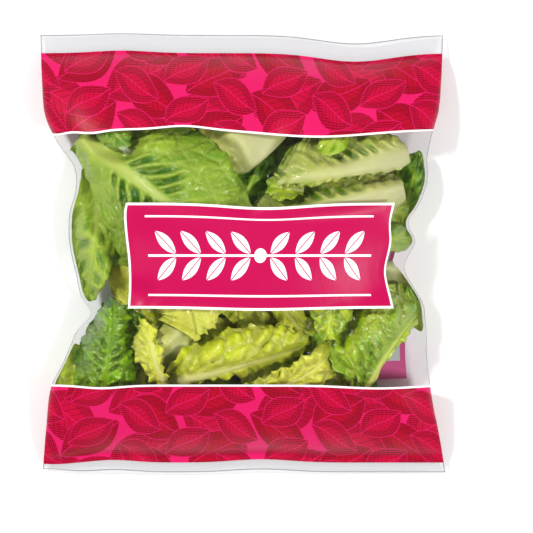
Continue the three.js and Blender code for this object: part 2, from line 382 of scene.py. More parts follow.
class Value:
    """A number in a material's node tree that takes part in arithmetic."""

    def __init__(self, sheet: "NodeSheet", socket: bpy.types.NodeSocket) -> None:
        """Wraps an output socket of the sheet's tree."""
        self.sheet = sheet
        self.socket = socket

    def maths(self, operation: str, *others: "Value | float", **settings: object) -> "Value":
        """Adds a Math node that works on this value and the others."""
        inputs = dict(enumerate((self, *others)))
        return self.sheet.node("ShaderNodeMath", {"operation": operation, **settings}, inputs).value(0)

    def __add__(self, other: "Value | float") -> "Value":
        """Adds."""
        return self.maths("ADD", other)

    __radd__ = __add__

    def __sub__(self, other: "Value | float") -> "Value":
        """Subtracts."""
        return self.maths("SUBTRACT", other)

    def __rsub__(self, other: float) -> "Value":
        """Subtracts this from a number."""
        return (self * -1.0) + other

    def __mul__(self, other: "Value | float") -> "Value":
        """Multiplies."""
        return self.maths("MULTIPLY", other)

    __rmul__ = __mul__

    def __truediv__(self, other: "Value | float") -> "Value":
        """Divides."""
        return self.maths("DIVIDE", other)

    def __lt__(self, other: "Value | float") -> "Value":
        """Gives 1 where this is less."""
        return self.maths("LESS_THAN", other)

    def __gt__(self, other: "Value | float") -> "Value":
        """Gives 1 where this is more."""
        return self.maths("GREATER_THAN", other)

    def __abs__(self) -> "Value":
        """Drops the sign."""
        return self.maths("ABSOLUTE")

    def clamped(self) -> "Value":
        """Keeps the value between 0 and 1."""
        return self.maths("ADD", 0.0, use_clamp=True)

    def most(self, other: "Value | float") -> "Value":
        """Gives the larger of two values."""
        return self.maths("MAXIMUM", other)

    def ramp(self, low: float, high: float) -> "Value":
        """Eases from 0 at low to 1 at high."""
        inputs = {"Value": self, "From Min": low, "From Max": high}
        return self.sheet.node("ShaderNodeMapRange", {"interpolation_type": "SMOOTHSTEP"}, inputs).value(0)


class Made:
    """A node that has been added, with its outputs at hand."""

    def __init__(self, sheet: "NodeSheet", node: bpy.types.Node) -> None:
        """Wraps a node of the sheet's tree."""
        self.sheet = sheet
        self.node = node

    def value(self, output: int | str) -> Value:
        """Gives an output as a number to calculate with."""
        return Value(self.sheet, self.node.outputs[output])

    def link(self, output: int | str = 0) -> bpy.types.NodeSocket:
        """Gives an output as a plain socket, for a colour, a vector or a shader."""
        return self.node.outputs[output]


class NodeSheet:
    """A material's node tree, written as expressions."""

    def __init__(self, name: str) -> None:
        """Starts an empty material of this name.

        Args:
            name: the material's name.
        """
        self.material = bpy.data.materials.new(name)
        self.material.use_nodes = True
        self.tree = self.material.node_tree
        self.tree.nodes.clear()

    def node(self, kind: str, settings: dict | None = None, inputs: dict | None = None) -> Made:
        """Adds a node.

        Args:
            kind: the node's type.
            settings: its own settings, set first.
            inputs: what goes into its sockets, by name or number: a value, a link or a plain number.

        Returns:
            The node that was made.
        """
        node = self.tree.nodes.new(kind)
        for name, setting in (settings or {}).items():
            setattr(node, name, setting)
        for name, given in (inputs or {}).items():
            source = given.socket if isinstance(given, Value) else given
            if isinstance(source, bpy.types.NodeSocket):
                self.tree.links.new(source, node.inputs[name])
            else:
                node.inputs[name].default_value = source
        return Made(self, node)

    def uv(self, name: str) -> bpy.types.NodeSocket:
        """Reads a piece's own flat coordinates."""
        return self.node("ShaderNodeUVMap", {"uv_map": name}).link()

    def surface(self, inputs: dict) -> bpy.types.NodeSocket:
        """Makes an ordinary surface."""
        return self.node("ShaderNodeBsdfPrincipled", None, inputs).link()

    def blend(self, share: Value | float, one: object, other: object) -> bpy.types.NodeSocket:
        """Blends two surfaces: one where the share is 0 and the other where it is 1."""
        return self.node("ShaderNodeMixShader", None, {0: share, 1: one, 2: other}).link()

    def mix(self, factor: Value | float, low: object, high: object) -> bpy.types.NodeSocket:
        """Mixes two colours: low where the factor is 0 and high where it is 1."""
        inputs = {0: factor, 6: low, 7: high}
        return self.node("ShaderNodeMix", {"data_type": "RGBA"}, inputs).link(2)

    def noise(self, vector: bpy.types.NodeSocket, scale: float, detail: float = 3.0) -> Value:
        """Reads a soft noise, from 0 to 1, that repeats about scale times in a metre."""
        inputs = {"Vector": vector, "Scale": scale, "Detail": detail}
        return self.node("ShaderNodeTexNoise", None, inputs).value("Fac")

    def bump(self, height: Value, strength: float, distance: float) -> bpy.types.NodeSocket:
        """Turns a height into a normal."""
        inputs = {"Height": height, "Strength": strength, "Distance": distance}
        return self.node("ShaderNodeBump", None, inputs).link(0)

    def finish(self, shader: bpy.types.NodeSocket) -> bpy.types.Material:
        """Puts the shader on the surface and gives the material."""
        self.node("ShaderNodeOutputMaterial", None, {"Surface": shader})
        return self.material


@dataclass(frozen=True)
class PrintLayout:
    """Where the print lies on the film, in millimetres along it and shares across it."""

    line: float = 1.2
    top_band: tuple[float, float] = (74.9, 120.5)
    bottom_band: tuple[float, float] = (-125.6, -79.6)
    label_along: tuple[float, float] = (-32.8, 30.4)
    label_across: tuple[float, float] = (0.147, 0.918)
    label_border: float = 1.5
    panel_along: tuple[float, float] = (-74, 62)
    panel_across: tuple[float, float] = (0.56, 0.94)
    lap: tuple[float, float] = (0.47, 0.52)


@dataclass(frozen=True)
class Sprig:
    """The plain sprig on the label between two rules, the same to the left and right, up and down.

    All but its lean are millimetres from the label's middle or half widths.
    """

    bud: float = 4.4
    bare: float = 6
    step: float = 17.5
    lean: float = math.radians(46)
    leaf_middle: float = 11
    leaf_length: float = 9.6
    leaf_width: float = 4
    leaf_rib: float = 0.32
    leaves_end: float = 76
    stem: float = 0.7
    length: float = 79
    rule_height: float = 23.5
    rule: float = 0.6

    def draw(self, x: Value, y: Value) -> Value:
        """Marks the sprig and its rules at these places from the label's middle.

        Args:
            x: millimetres to the right of the label's middle.
            y: millimetres above it.

        Returns:
            A mask of what is printed.
        """
        reach, side = abs(x), abs(y)
        run = ((reach - self.bare) / self.step).maths("FRACT") * self.step
        grown = run * math.cos(self.lean) + side * math.sin(self.lean)
        aside = abs(side * math.cos(self.lean) - run * math.sin(self.lean))
        share = (grown - self.leaf_middle) / self.leaf_length
        leaf = (aside < (1.0 - share * share) * self.leaf_width) * (aside > self.leaf_rib)
        leaves = leaf * (reach > self.bare) * (reach < self.leaves_end)
        lines = (side < self.stem).most(abs(side - self.rule_height) < self.rule) * (reach < self.length)
        bud = (x * x + y * y) < self.bud * self.bud
        return leaves.most(lines).most(bud)


@dataclass(frozen=True)
class Motif:
    """The plain pointed leaf that repeats over the bands.

    cell, width, vein_step and shade are shares of the leaf's length, vein and hatch are shares of their
    steps, and bend, outline, rib and hatch_step are millimetres. stagger is how many rows further along
    every other column starts, each column, and each millimetre that the layer is moved across.
    """

    cell: tuple[float, float] = (0.96, 0.8)
    stagger: tuple[float, float, float] = (0.5, 0.13, 0.01)
    lean: float = math.radians(30)
    width: float = 0.3
    bends: float = 2.6
    bend: float = 1.1
    outline: float = 0.28
    rib: float = 0.3
    vein_lean: float = 0.9
    vein_step: float = 0.1
    vein: float = 0.12
    hatch_lean: float = 0.5
    hatch_step: float = 1.5
    hatch: float = 0.48
    shade: float = 0.15

    def draw(self, across: Value, along: Value, shift: float, size: float) -> tuple[Value, Value, Value]:
        """Draws one layer of leaves in staggered columns.

        Args:
            across: millimetres across the print.
            along: millimetres along the print.
            shift: how far the layer is moved across.
            size: the length of a leaf.

        Returns:
            Masks of the leaf's body, of its outline with its rib, and of the fine lines that shade it.
        """
        cell_x, cell_y = (share * size for share in self.cell)
        column = (across + shift) / cell_x
        number = column.maths("FLOOR")
        odd = number.maths("MODULO", 2.0)
        x = (column.maths("FRACT") - 0.5) * cell_x
        every_other, each, by_shift = self.stagger
        row = along / cell_y + odd * every_other + number * each + by_shift * shift
        y = (row.maths("FRACT") - 0.5) * cell_y
        way = odd * 2.0 - 1.0
        run = x * math.cos(self.lean) + y * way * math.sin(self.lean)
        rise = y * math.cos(self.lean) - x * way * math.sin(self.lean)
        share = run / (size * 0.5)
        bent = rise + (share * self.bends).maths("SINE") * self.bend
        inside = (1.0 - share * share) * (size * self.width) - abs(bent)
        body = inside > 0.0
        rim = (abs(inside) < self.outline).most((abs(bent) < self.rib) * body)
        vein = ((run - abs(bent) * self.vein_lean) / (size * self.vein_step)).maths("FRACT") < self.vein
        hatch = ((run * self.hatch_lean + abs(bent)) / self.hatch_step).maths("FRACT") < self.hatch
        shaded = (inside < size * self.shade).most(vein) * body * hatch.most(vein)
        return body, rim, shaded


@dataclass(frozen=True)
class PanelPrint:
    """The plain print of the back's panel, in millimetres: a rule round it, a foot and faint rows."""

    rule: float = 3.6
    foot: float = 10
    row_step: float = 7.5
    row: float = 0.12
    row_ink: float = 0.6
    row_inset: float = 10
    head: float = 18


class Zone(Enum):
    """The parts of the film that differ in finish, in the order of its material slots."""

    WINDOW = 0
    SEAL = 1
    BAND = 2
    LABEL = 3
    PANEL = 4


@dataclass(frozen=True)
class Inks:
    """The colours of the print."""

    magenta: tuple = linear(180, 4, 74)
    pink: tuple = linear(208, 22, 92)
    crimson: tuple = linear(180, 3, 52)
    deep: tuple = linear(166, 1, 38)
    shade: tuple = linear(112, 0, 26)
    rose: tuple = linear(250, 110, 176)
    white: tuple = linear(236, 235, 238)


@dataclass(frozen=True)
class FilmFinish:
    """The film's materials: clear, frosted at the seals, and printed. Lengths are in millimetres.

    A window and a seal have a haze, which is how much light the film itself scatters back, and a shine,
    which is how much it mirrors, seen straight on. The graze fields say how both grow towards the edge of
    what is seen. crinkles are pairs of how many there are in a metre and how detailed they are.
    """

    layout: PrintLayout
    form: BagForm
    inks: Inks = Inks()
    sprig: Sprig = Sprig()
    motif: Motif = Motif()
    panel_print: PanelPrint = PanelPrint()
    window: tuple[float, float] = (0.004, 0.0016)
    seal: tuple[float, float] = (0.42, 0.04)
    milk: tuple = linear(224, 225, 227)
    tint: tuple = (0.93, 0.93, 0.935, 1)
    graze: float = 0.35
    graze_haze: float = 0.03
    graze_shine: float = 0.5
    graze_power: float = 8.0
    edge: float = 0.6
    edge_haze: float = 0.4
    edge_grey: tuple = linear(150, 150, 154)
    crinkles: tuple = ((55, 4), (210, 3))
    crinkle_stretch: float = 0.35
    fine_crinkle: float = 0.3
    crinkle_depth: float = 1.2
    clear_crinkle: float = 0.35
    print_crinkle: float = 0.28
    print_shine: float = 0.14
    print_rough: float = 0.36
    panel_rough: float = 0.35
    shade_ink: float = 0.8
    rim_ink: float = 0.7

    def crinkled(self, sheet: NodeSheet, strength: float) -> bpy.types.NodeSocket:
        """Makes the fine crinkles of the film, which run along the bag more than across it.

        Args:
            sheet: the material's node tree.
            strength: how strong they are.

        Returns:
            The normal.
        """
        stretch = {"Vector": sheet.uv("print"), "Scale": (1.0, self.crinkle_stretch, 1.0)}
        stretched = sheet.node("ShaderNodeMapping", None, stretch).link()
        soft, fine = (sheet.noise(stretched, scale, detail) for scale, detail in self.crinkles)
        return sheet.bump(soft + fine * self.fine_crinkle, strength, self.crinkle_depth * MM)

    def place(self, sheet: NodeSheet) -> tuple[Value, Value]:
        """Reads the place on the print, in millimetres across from its left side and along it."""
        parts = sheet.node("ShaderNodeSeparateXYZ", None, {0: sheet.uv("print")})
        return parts.value(0) * (1 / MM), parts.value(1) * (1 / MM)

    def cut_edge(self, sheet: NodeSheet) -> Value:
        """Marks the cut edge of the film and the folds down its sides.

        Args:
            sheet: the material's node tree.

        Returns:
            The mask.
        """
        across, along = self.place(sheet)
        middle = self.form.film_width / 2
        ends = abs(along) > self.form.half_length - self.edge
        return ends.most(abs(across - middle) > middle - self.edge)

    def clear(self, name: str, haze: float, shine: float) -> bpy.types.Material:
        """Makes a see-through film.

        Args:
            name: the material's name.
            haze: how much light the film itself scatters back.
            shine: how much it mirrors, seen straight on.

        Returns:
            The material.
        """
        sheet = NodeSheet(name)
        normal = self.crinkled(sheet, self.clear_crinkle)
        facing = sheet.node("ShaderNodeLayerWeight", None, {"Blend": self.graze}).value("Facing")
        cut = self.cut_edge(sheet)
        white = sheet.mix(cut, self.milk, self.edge_grey)
        milk = sheet.surface({"Base Color": white, "Roughness": 0.5, "Specular IOR Level": 0.2})
        chrome = {"Base Color": (1, 1, 1, 1), "Metallic": 1.0, "Roughness": 0.1, "Normal": normal}
        mirror = sheet.surface(chrome)
        open_air = sheet.node("ShaderNodeBsdfTransparent", None, {"Color": self.tint}).link()
        share = (facing * self.graze_haze + cut * self.edge_haze + haze).clamped()
        glossy = (facing.maths("POWER", self.graze_power) * self.graze_shine + shine).clamped()
        return sheet.finish(sheet.blend(glossy, sheet.blend(share, open_air, milk), mirror))

    def printed(self, sheet: NodeSheet, colour: object, rough: float) -> bpy.types.Material:
        """Covers a printed colour with the film's gloss.

        Args:
            sheet: the material's node tree.
            colour: the printed colour.
            rough: how rough the gloss is.

        Returns:
            The material.
        """
        inputs = {
            "Base Color": colour, "Roughness": rough, "Specular IOR Level": self.print_shine,
            "Normal": self.crinkled(sheet, self.print_crinkle),
        }
        return sheet.finish(sheet.surface(inputs))

    def band(self) -> bpy.types.Material:
        """Makes the end bands: plain leaves in crimson on pink, and a white line along the window.

        Returns:
            The material.
        """
        sheet = NodeSheet("band print")
        across, along = self.place(sheet)
        tone = self.inks
        ground = tone.pink
        layers = (9.0, 47.0, tone.crimson), (30.0, 40.0, tone.deep), (17.0, 31.0, tone.crimson)
        for shift, size, fill in layers:
            body, rim, shaded = self.motif.draw(across, along, shift, size)
            ground = sheet.mix(body, ground, fill)
            ground = sheet.mix(shaded * self.shade_ink, ground, tone.shade)
            ground = sheet.mix(rim * self.rim_ink, ground, tone.pink)
        half_line = self.layout.line / 2
        upper = abs(along - (self.layout.top_band[0] - half_line)) < half_line
        lower = abs(along - (self.layout.bottom_band[1] + half_line)) < half_line
        return self.printed(sheet, sheet.mix(upper.most(lower), ground, tone.white), self.print_rough)

    def label(self) -> bpy.types.Material:
        """Makes the label: a magenta field with a white border and the sprig.

        Returns:
            The material.
        """
        sheet = NodeSheet("label print")
        across, along = self.place(sheet)
        left, right = (share * self.form.film_width for share in self.layout.label_across)
        low, high = self.layout.label_along
        x, y = across - (left + right) / 2, along - (low + high) / 2
        inset = ((right - left) / 2 - abs(x)).maths("MINIMUM", (high - low) / 2 - abs(y))
        white = self.sprig.draw(x, y).most(inset < self.layout.label_border)
        return self.printed(sheet, sheet.mix(white, self.inks.magenta, self.inks.white), self.print_rough)

    def panel(self) -> bpy.types.Material:
        """Makes the plain panel on the back: white with a rose rule round it and a rose foot.

        Returns:
            The material.
        """
        sheet = NodeSheet("back panel print")
        across, along = self.place(sheet)
        left, right = (share * self.form.film_width for share in self.layout.panel_across)
        low, high = self.layout.panel_along
        lines = self.panel_print
        inset = ((right - across).maths("MINIMUM", across - left)).maths("MINIMUM", high - along)
        rows = ((along / lines.row_step).maths("FRACT") < lines.row) * (inset > lines.row_inset)
        rows = rows * (along < high - lines.head)
        ink = (inset < lines.rule).most(along < low + lines.foot).most(rows * lines.row_ink)
        return self.printed(sheet, sheet.mix(ink, self.inks.white, self.inks.rose), self.panel_rough)

    def materials(self) -> list[bpy.types.Material]:
        """Makes the film's materials in the order of the zones.

        Returns:
            The materials.
        """
        made = {
            Zone.WINDOW: self.clear("clear film", *self.window),
            Zone.SEAL: self.clear("seal film", *self.seal),
            Zone.BAND: self.band(),
            Zone.LABEL: self.label(),
            Zone.PANEL: self.panel(),
        }
        return [made[zone] for zone in Zone]


@dataclass
class Film:
    """The bag itself: one tube of film, sealed flat at both ends.

    cell, hem and weld are millimetres and round_side is a share of the film's width. probes is how many
    places across and along are tried to find the form's middle.
    """

    form: BagForm = field(default_factory=BagForm)
    layout: PrintLayout = field(default_factory=PrintLayout)
    cell: float = 1.6
    round_side: float = 0.03
    round_steps: int = 12
    hem: float = 0.6
    weld: float = 0.02
    probes: tuple[int, int] = (121, 177)
    shift: Vector = field(default_factory=Vector)

    def stations(self, lines: list[float], cell: float) -> Array:
        """Fills the gaps between lines with even steps no longer than a cell.

        Args:
            lines: the places that have to be kept.
            cell: the longest step.

        Returns:
            The places and those between them, in order.
        """
        lines = sorted(set(lines))
        places = [np.array(lines[:1])]
        for low, high in zip(lines, lines[1:]):
            places.append(np.linspace(low, high, math.ceil((high - low) / cell) + 1)[1:])
        return np.concatenate(places)

    def grid_lines(self) -> tuple[Array, Array]:
        """Gives the places of the grid's columns and rows, so that each printed edge is a line of it.

        Returns:
            The columns as shares across, and the rows in millimetres along.
        """
        form, layout = self.form, self.layout
        side = self.round_side
        lines = [side, *layout.label_across, *layout.panel_across, *layout.lap, 1 - side]
        columns = self.stations(lines, self.cell / form.film_width)
        turn = side * (1 - np.cos(np.linspace(0, math.pi / 2, self.round_steps)[:-1]))
        columns = np.concatenate([turn, columns, (1 - turn)[::-1]])
        ends = form.half_length
        borders = [layout.bottom_band[1] + layout.line, layout.top_band[0] - layout.line]
        lines = [*layout.bottom_band, *layout.top_band, *borders, *layout.label_along, *layout.panel_along]
        return columns, self.stations([-ends, self.hem - ends, *lines, ends - self.hem, ends], self.cell)

    def zone(self, across: Array, along: Array, front: bool) -> Array:
        """Tells which zone each place of the film is in.

        Args:
            across: places across the film, 0 to 1.
            along: heights of the print.
            front: whether it is the bag's front.

        Returns:
            The number of each place's zone.
        """
        layout = self.layout
        zones = np.full(across.shape, Zone.WINDOW.value)
        in_band = (along > layout.top_band[0] - layout.line) | (along < layout.bottom_band[1] + layout.line)
        zones[in_band] = Zone.BAND.value
        ends = (along > layout.top_band[1]) | (along < layout.bottom_band[0])
        lap = (across > layout.lap[0]) & (across < layout.lap[1]) & (not front)
        zones[ends | (lap & ~in_band)] = Zone.SEAL.value
        rows = layout.label_along if front else layout.panel_along
        columns = layout.label_across if front else layout.panel_across
        inside = (along > rows[0]) & (along < rows[1]) & (across > columns[0]) & (across < columns[1])
        zones[inside] = Zone.LABEL.value if front else Zone.PANEL.value
        return zones

    def layer(self, front: bool) -> bpy.types.Mesh:
        """Makes one side of the bag from a grid that is laid over the form.

        Args:
            front: whether it is the bag's front.

        Returns:
            The layer's mesh.
        """
        columns, rows = self.grid_lines()
        steps = np.array([len(columns) - 1, len(rows) - 1])
        bm = bmesh.new()
        bmesh.ops.create_grid(bm, x_segments=steps[0], y_segments=steps[1], size=0.5)
        if not front:
            bmesh.ops.reverse_faces(bm, faces=bm.faces)
        mesh = mesh_of(bm, "layer")
        flat = read_places(mesh)[:, :2]
        index = np.rint((flat + 0.5) * steps).astype(int)
        across, along = columns[index[:, 0]], rows[index[:, 1]]
        x, y, z = self.form.place(across, along, front)
        write_places(mesh, np.column_stack([x, y, z]) * MM + np.array(self.shift))
        corner = spread_flat(mesh, "print", across * self.form.film_width, along)
        centre = [part[corner].reshape(-1, 4).mean(1) for part in (across, along)]
        mesh.polygons.foreach_set("material_index", self.zone(*centre, front).astype(np.int32))
        return mesh

    def align(self) -> None:
        """Moves the form over the solid's box, whose middle is the frame's origin."""
        low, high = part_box(BAG_NODE)
        ends = self.form.half_length
        columns, rows = self.probes
        across, along = np.meshgrid(np.linspace(0, 1, columns), np.linspace(-ends, ends, rows))
        x, y, _ = self.form.place(across, along, True)
        middle = np.array([x.min() + x.max(), y.min() + y.max()]) / 2 * MM
        self.shift = Vector(((low.x + high.x) / 2 - middle[0], (low.y + high.y) / 2 - middle[1], 0))

    def build(self) -> bpy.types.Object:
        """Welds the two layers into the bag and dresses it.

        Returns:
            The film.
        """
        self.align()
        bm = bmesh.new()
        for front in (True, False):
            bm.from_mesh(self.layer(front))
        bmesh.ops.remove_doubles(bm, verts=bm.verts, dist=self.weld * MM)
        mesh = mesh_of(bm, "bag_film")
        finishes = FilmFinish(self.layout, self.form).materials()
        film = piece("bag_film", mesh, finishes)
        LOG.info("film: %d faces", len(mesh.polygons))
        return film


@dataclass(frozen=True)
class Tones:
    """The colours of a leaf: its blade by the rib and at the margin, and its rib and veins."""

    light: tuple
    deep: tuple
    rib: tuple


class Kind(Enum):
    """The kinds of leaf in the bag, from the outside of the head to its heart."""

    DARK = Tones(linear(146, 200, 14), linear(34, 106, 0), linear(190, 212, 80))
    GREEN = Tones(linear(178, 208, 60), linear(84, 142, 20), linear(200, 214, 104))
    FRESH = Tones(linear(212, 230, 50), linear(140, 188, 0), linear(232, 236, 150))
    RIBBED = Tones(linear(216, 218, 108), linear(128, 162, 4), linear(218, 216, 162))
    HEART = Tones(linear(242, 242, 78), linear(214, 228, 4), linear(244, 240, 156))
    OLIVE = Tones(linear(212, 210, 60), linear(242, 244, 112), linear(212, 206, 84))
    PALE = Tones(linear(124, 180, 0), linear(208, 232, 30), linear(240, 244, 130))


OUTER = (Kind.DARK, Kind.GREEN, Kind.FRESH)  # from the outside of the head
WET = (Kind.DARK, Kind.PALE)  # leaves whose blades shine
WET_SKIN = {"crinkle": 2.0, "crinkles": 230, "gloss": 0.95, "gloss_spread": 0.2}
FRONT_SEEDS = (11, 29)  # two layers of filling under the leaves that show
BACK_SEED = 5  # one layer of filling along the back


@dataclass(frozen=True)
class Leaf:
    """One lettuce leaf as it lies, seen from outside the bag. Millimetres and radians.

    base and tip are the ends of its rib. left and right are the half widths of its blade, curl_left and
    curl_right how far each half curls away from the film, sway its bend in its own plane. A shoulder under
    1 makes that half wide sooner after its base.
    """

    kind: Kind
    base: tuple[float, float]
    tip: tuple[float, float]
    left: float
    right: float
    curl_left: float = 0.5
    curl_right: float = 0.5
    sway: float = 0.0
    ruffle: float = 1.5
    blister: float = 0.8
    pits: float = 2.0
    rib: float = 5.0
    arch: float = 5.0
    spacing: float = 10.0
    tone: float = 0.0
    edge: float = 0.0
    shoulder: tuple[float, float] = (1.0, 1.0)
    frill: float = 9.0
    puff: float = 8.5
    seed: int = 1

    @property
    def length(self) -> float:
        """The straight distance from base to tip."""
        return math.dist(self.base, self.tip)


@dataclass
class LeafShape:
    """Works out a leaf's surface from its own two coordinates: side, -1 to 1, and run, 0 to 1.

    Widths, heights and eases are millimetres, and the rest are shares or multiples of what they name. A
    slant is how far something leads to the tip for each millimetre out from the rib.
    """

    leaf: Leaf
    thickness: float = 0.5
    outline: tuple = ((0, 0.22), (0.1, 0.3), (0.28, 0.62), (0.48, 0.88), (0.66, 1), (0.84, 0.96), (1, 0.74))
    rib_height: float = 1.6
    rib_narrows: tuple[float, float] = (0.84, 0.8)
    rib_sinks: float = 0.75
    blade_start: float = 0.8
    blade_ease: float = 3.0
    vein_height: float = 0.9
    vein_width: float = 0.9
    vein_slant: float = 0.7
    vein_bend: float = 0.35
    vein_fade: float = 0.75
    wander: float = 0.16
    pit_share: float = 0.27
    pit_ease: float = 3.5
    pit_reach: tuple[float, float] = (0.25, 0.2)
    pit_fade: float = 0.6
    cell_slant: float = 0.5
    cell_stretch: float = 0.85
    cell_slope: float = 0.85
    small_cell: float = 0.45
    puff_rise: tuple[float, float] = (0.4, 0.13)
    net_width: float = 0.65
    net_height: float = 0.9
    crease_width: float = 0.9
    wave_height: float = 1.3
    ruffle_rise: float = 0.8
    ruffle_lean: float = 0.22
    ruffle_flare: float = 0.45
    slow_ruffle: float = 0.43
    teeth: tuple[float, float] = (31, 53)
    tooth: float = 0.02
    round_tip: tuple[float, float, float] = (0.22, 2.4, 1.4)
    arch_middle: float = 1.1

    def cells(self, out: Array, up: Array, size: float, rng: np.random.Generator) -> tuple[Array, Array]:
        """Divides the blade into the cells between its finer veins.

        Args:
            out: millimetres out from the rib along the side veins.
            up: millimetres up the leaf, square to the side veins.
            size: the cells' mean size.
            rng: where the cells' random middles come from.

        Returns:
            How far up its own puff each place lies, 0 to 1, and how far it is from the cell's edge.
        """
        span_out, span_up = out.max() - out.min() + 2 * size, up.max() - up.min() + 2 * size
        count = int(span_out * span_up / size**2)
        spots_out = out.min() - size + span_out * rng.random(count)
        spots_up = up.min() - size + span_up * rng.random(count)
        nearest, second = np.full(out.shape, span_up), np.full(out.shape, span_up)
        rise = np.ones(out.shape)
        for at_out, at_up, own in zip(spots_out, spots_up, rng.uniform(0.4, 1, count)):
            away = np.hypot(out - at_out, up - at_up)
            rise = np.where(away < nearest, own, rise)
            second = np.minimum(second, np.maximum(nearest, away))
            nearest = np.minimum(nearest, away)
        inward = np.clip((second - nearest) / (self.cell_slope * size), 0, 1)
        return rise * (1 - (1 - inward) ** 2), (second - nearest) / 2

    def side_veins(self, u: Array, v: Array, rib_width: Array, phase: Array) -> tuple[Array, Array]:
        """Works out the side veins and the pits between them.

        Args:
            u: millimetres from the rib.
            v: millimetres from the base.
            rib_width: how wide the rib is there.
            phase: the leaf's own random turns.

        Returns:
            Masks of the veins and of the pits.
        """
        leaf, away = self.leaf, np.abs(u)
        reach = max(leaf.left, leaf.right)
        wander = np.sin(u / 7 + phase[0]) + np.sin(v / 9 + phase[1]) + np.sin(v / 5 + phase[2])
        rise = v - self.vein_slant * away - self.vein_bend * u**2 / reach
        order = rise / leaf.spacing + self.wander * wander
        order += np.where(u < 0, 0.5, 0)
        number = np.floor(order)
        chance = np.sin(7.1 * number + 3.3 * np.sign(u) + phase[3])
        from_vein = np.abs(order - np.rint(order)) * leaf.spacing
        slot = np.exp(-((np.abs(order - number - 0.5) / self.pit_share) ** 4))
        least, more = self.pit_reach
        start, stop = rib_width * self.blade_start, rib_width + reach * (least + more * chance)
        pit = slot * smoothstep(chance, -1.1, 0.6) * smoothstep(away, start, start + self.pit_ease)
        pit = pit * (1 - smoothstep(away, self.pit_fade * stop, stop))
        return np.exp(-((from_vein / self.vein_width) ** 2)), pit

    def ruffles(self, side: Array, run: Array, u: Array, v: Array, phase: Array) -> tuple[Array, ...]:
        """Works out the ruffles of the margin.

        Args:
            side: place across the leaf.
            run: place along it.
            u: millimetres from the rib.
            v: millimetres from the base.
            phase: the leaf's own random turns.

        Returns:
            How far the margin rises, leans along the leaf and flares out.
        """
        margin = np.clip(np.abs(side) ** 3 + smoothstep(run, 0.8, 1.0) ** 2, 0, 1)
        round_margin = v + u * smoothstep(run, 0.6, 0.95)
        turn = 2 * math.pi * round_margin / self.leaf.frill
        turn += phase[3] + 1.3 * np.sin(v / 13 + phase[4]) + 0.8 * side
        slow = self.slow_ruffle * turn
        swing = np.sin(turn) + 0.7 * np.sin(slow + phase[5]) * margin
        rise = self.ruffle_rise * self.leaf.ruffle * margin * swing
        lean = -self.ruffle_lean * self.leaf.ruffle * margin * np.sin(2 * turn)
        flare = self.ruffle_flare * self.leaf.ruffle * margin * (np.cos(turn + 0.6) + 0.5 * np.cos(slow))
        return rise, lean, flare

    def relief(self, side: Array, run: Array, u: Array, v: Array) -> dict[str, Array]:
        """Works out the blade's relief.

        Args:
            side: place across the leaf.
            run: place along it.
            u: millimetres from the rib.
            v: millimetres from the base.

        Returns:
            The height, the shifts that make the margin's ruffles lean over, and masks of veins and pits.
        """
        leaf, away = self.leaf, np.abs(u)
        rng = np.random.default_rng(leaf.seed)
        phase = rng.uniform(0, 2 * math.pi, 8)
        narrows, power = self.rib_narrows
        rib_width = leaf.rib * (1 - narrows * run**power)
        rib = np.exp(-((away / rib_width) ** 3))
        blade = np.clip((away - rib_width * self.blade_start) / self.blade_ease, 0, 1)
        vein, pit = self.side_veins(u, v, rib_width, phase)
        vein = vein * blade * (1 - self.vein_fade * np.abs(side))
        out, up = self.cell_stretch * u, v - self.cell_slant * away
        large, edge = self.cells(out, up, leaf.puff, rng)
        small, _ = self.cells(out, up, self.small_cell * leaf.puff, rng)
        net = blade * np.exp(-((edge / self.net_width) ** 2))
        puff = blade * (self.puff_rise[0] * large + self.puff_rise[1] * small) * leaf.puff
        wave = np.sin(u / 11 + phase[2] + 0.4 * np.sin(v / 9)) * np.sin(v / 14 + phase[7]) * blade
        height = leaf.blister * puff - leaf.pits * pit + max(0, self.net_height - leaf.blister) * net
        height += (
            self.vein_height * vein + self.wave_height * wave
            + self.rib_height * rib * (1 - self.rib_sinks * run)
        )
        rise, lean, flare = self.ruffles(side, run, u, v, phase)
        # the pit, puff and crease masks also set the painted shade and painted light in the leaf's colour
        return {
            "height": height + rise, "lean": lean, "flare": flare, "rib": rib,
            "vein": np.maximum(vein, 0.6 * net), "pit": pit * min(leaf.pits / 3, 1),
            "puff": 0.5 + (0.75 * large + 0.25 * small - 0.5) * blade,
            "crease": np.exp(-((edge / self.crease_width) ** 2)) * blade,
        }

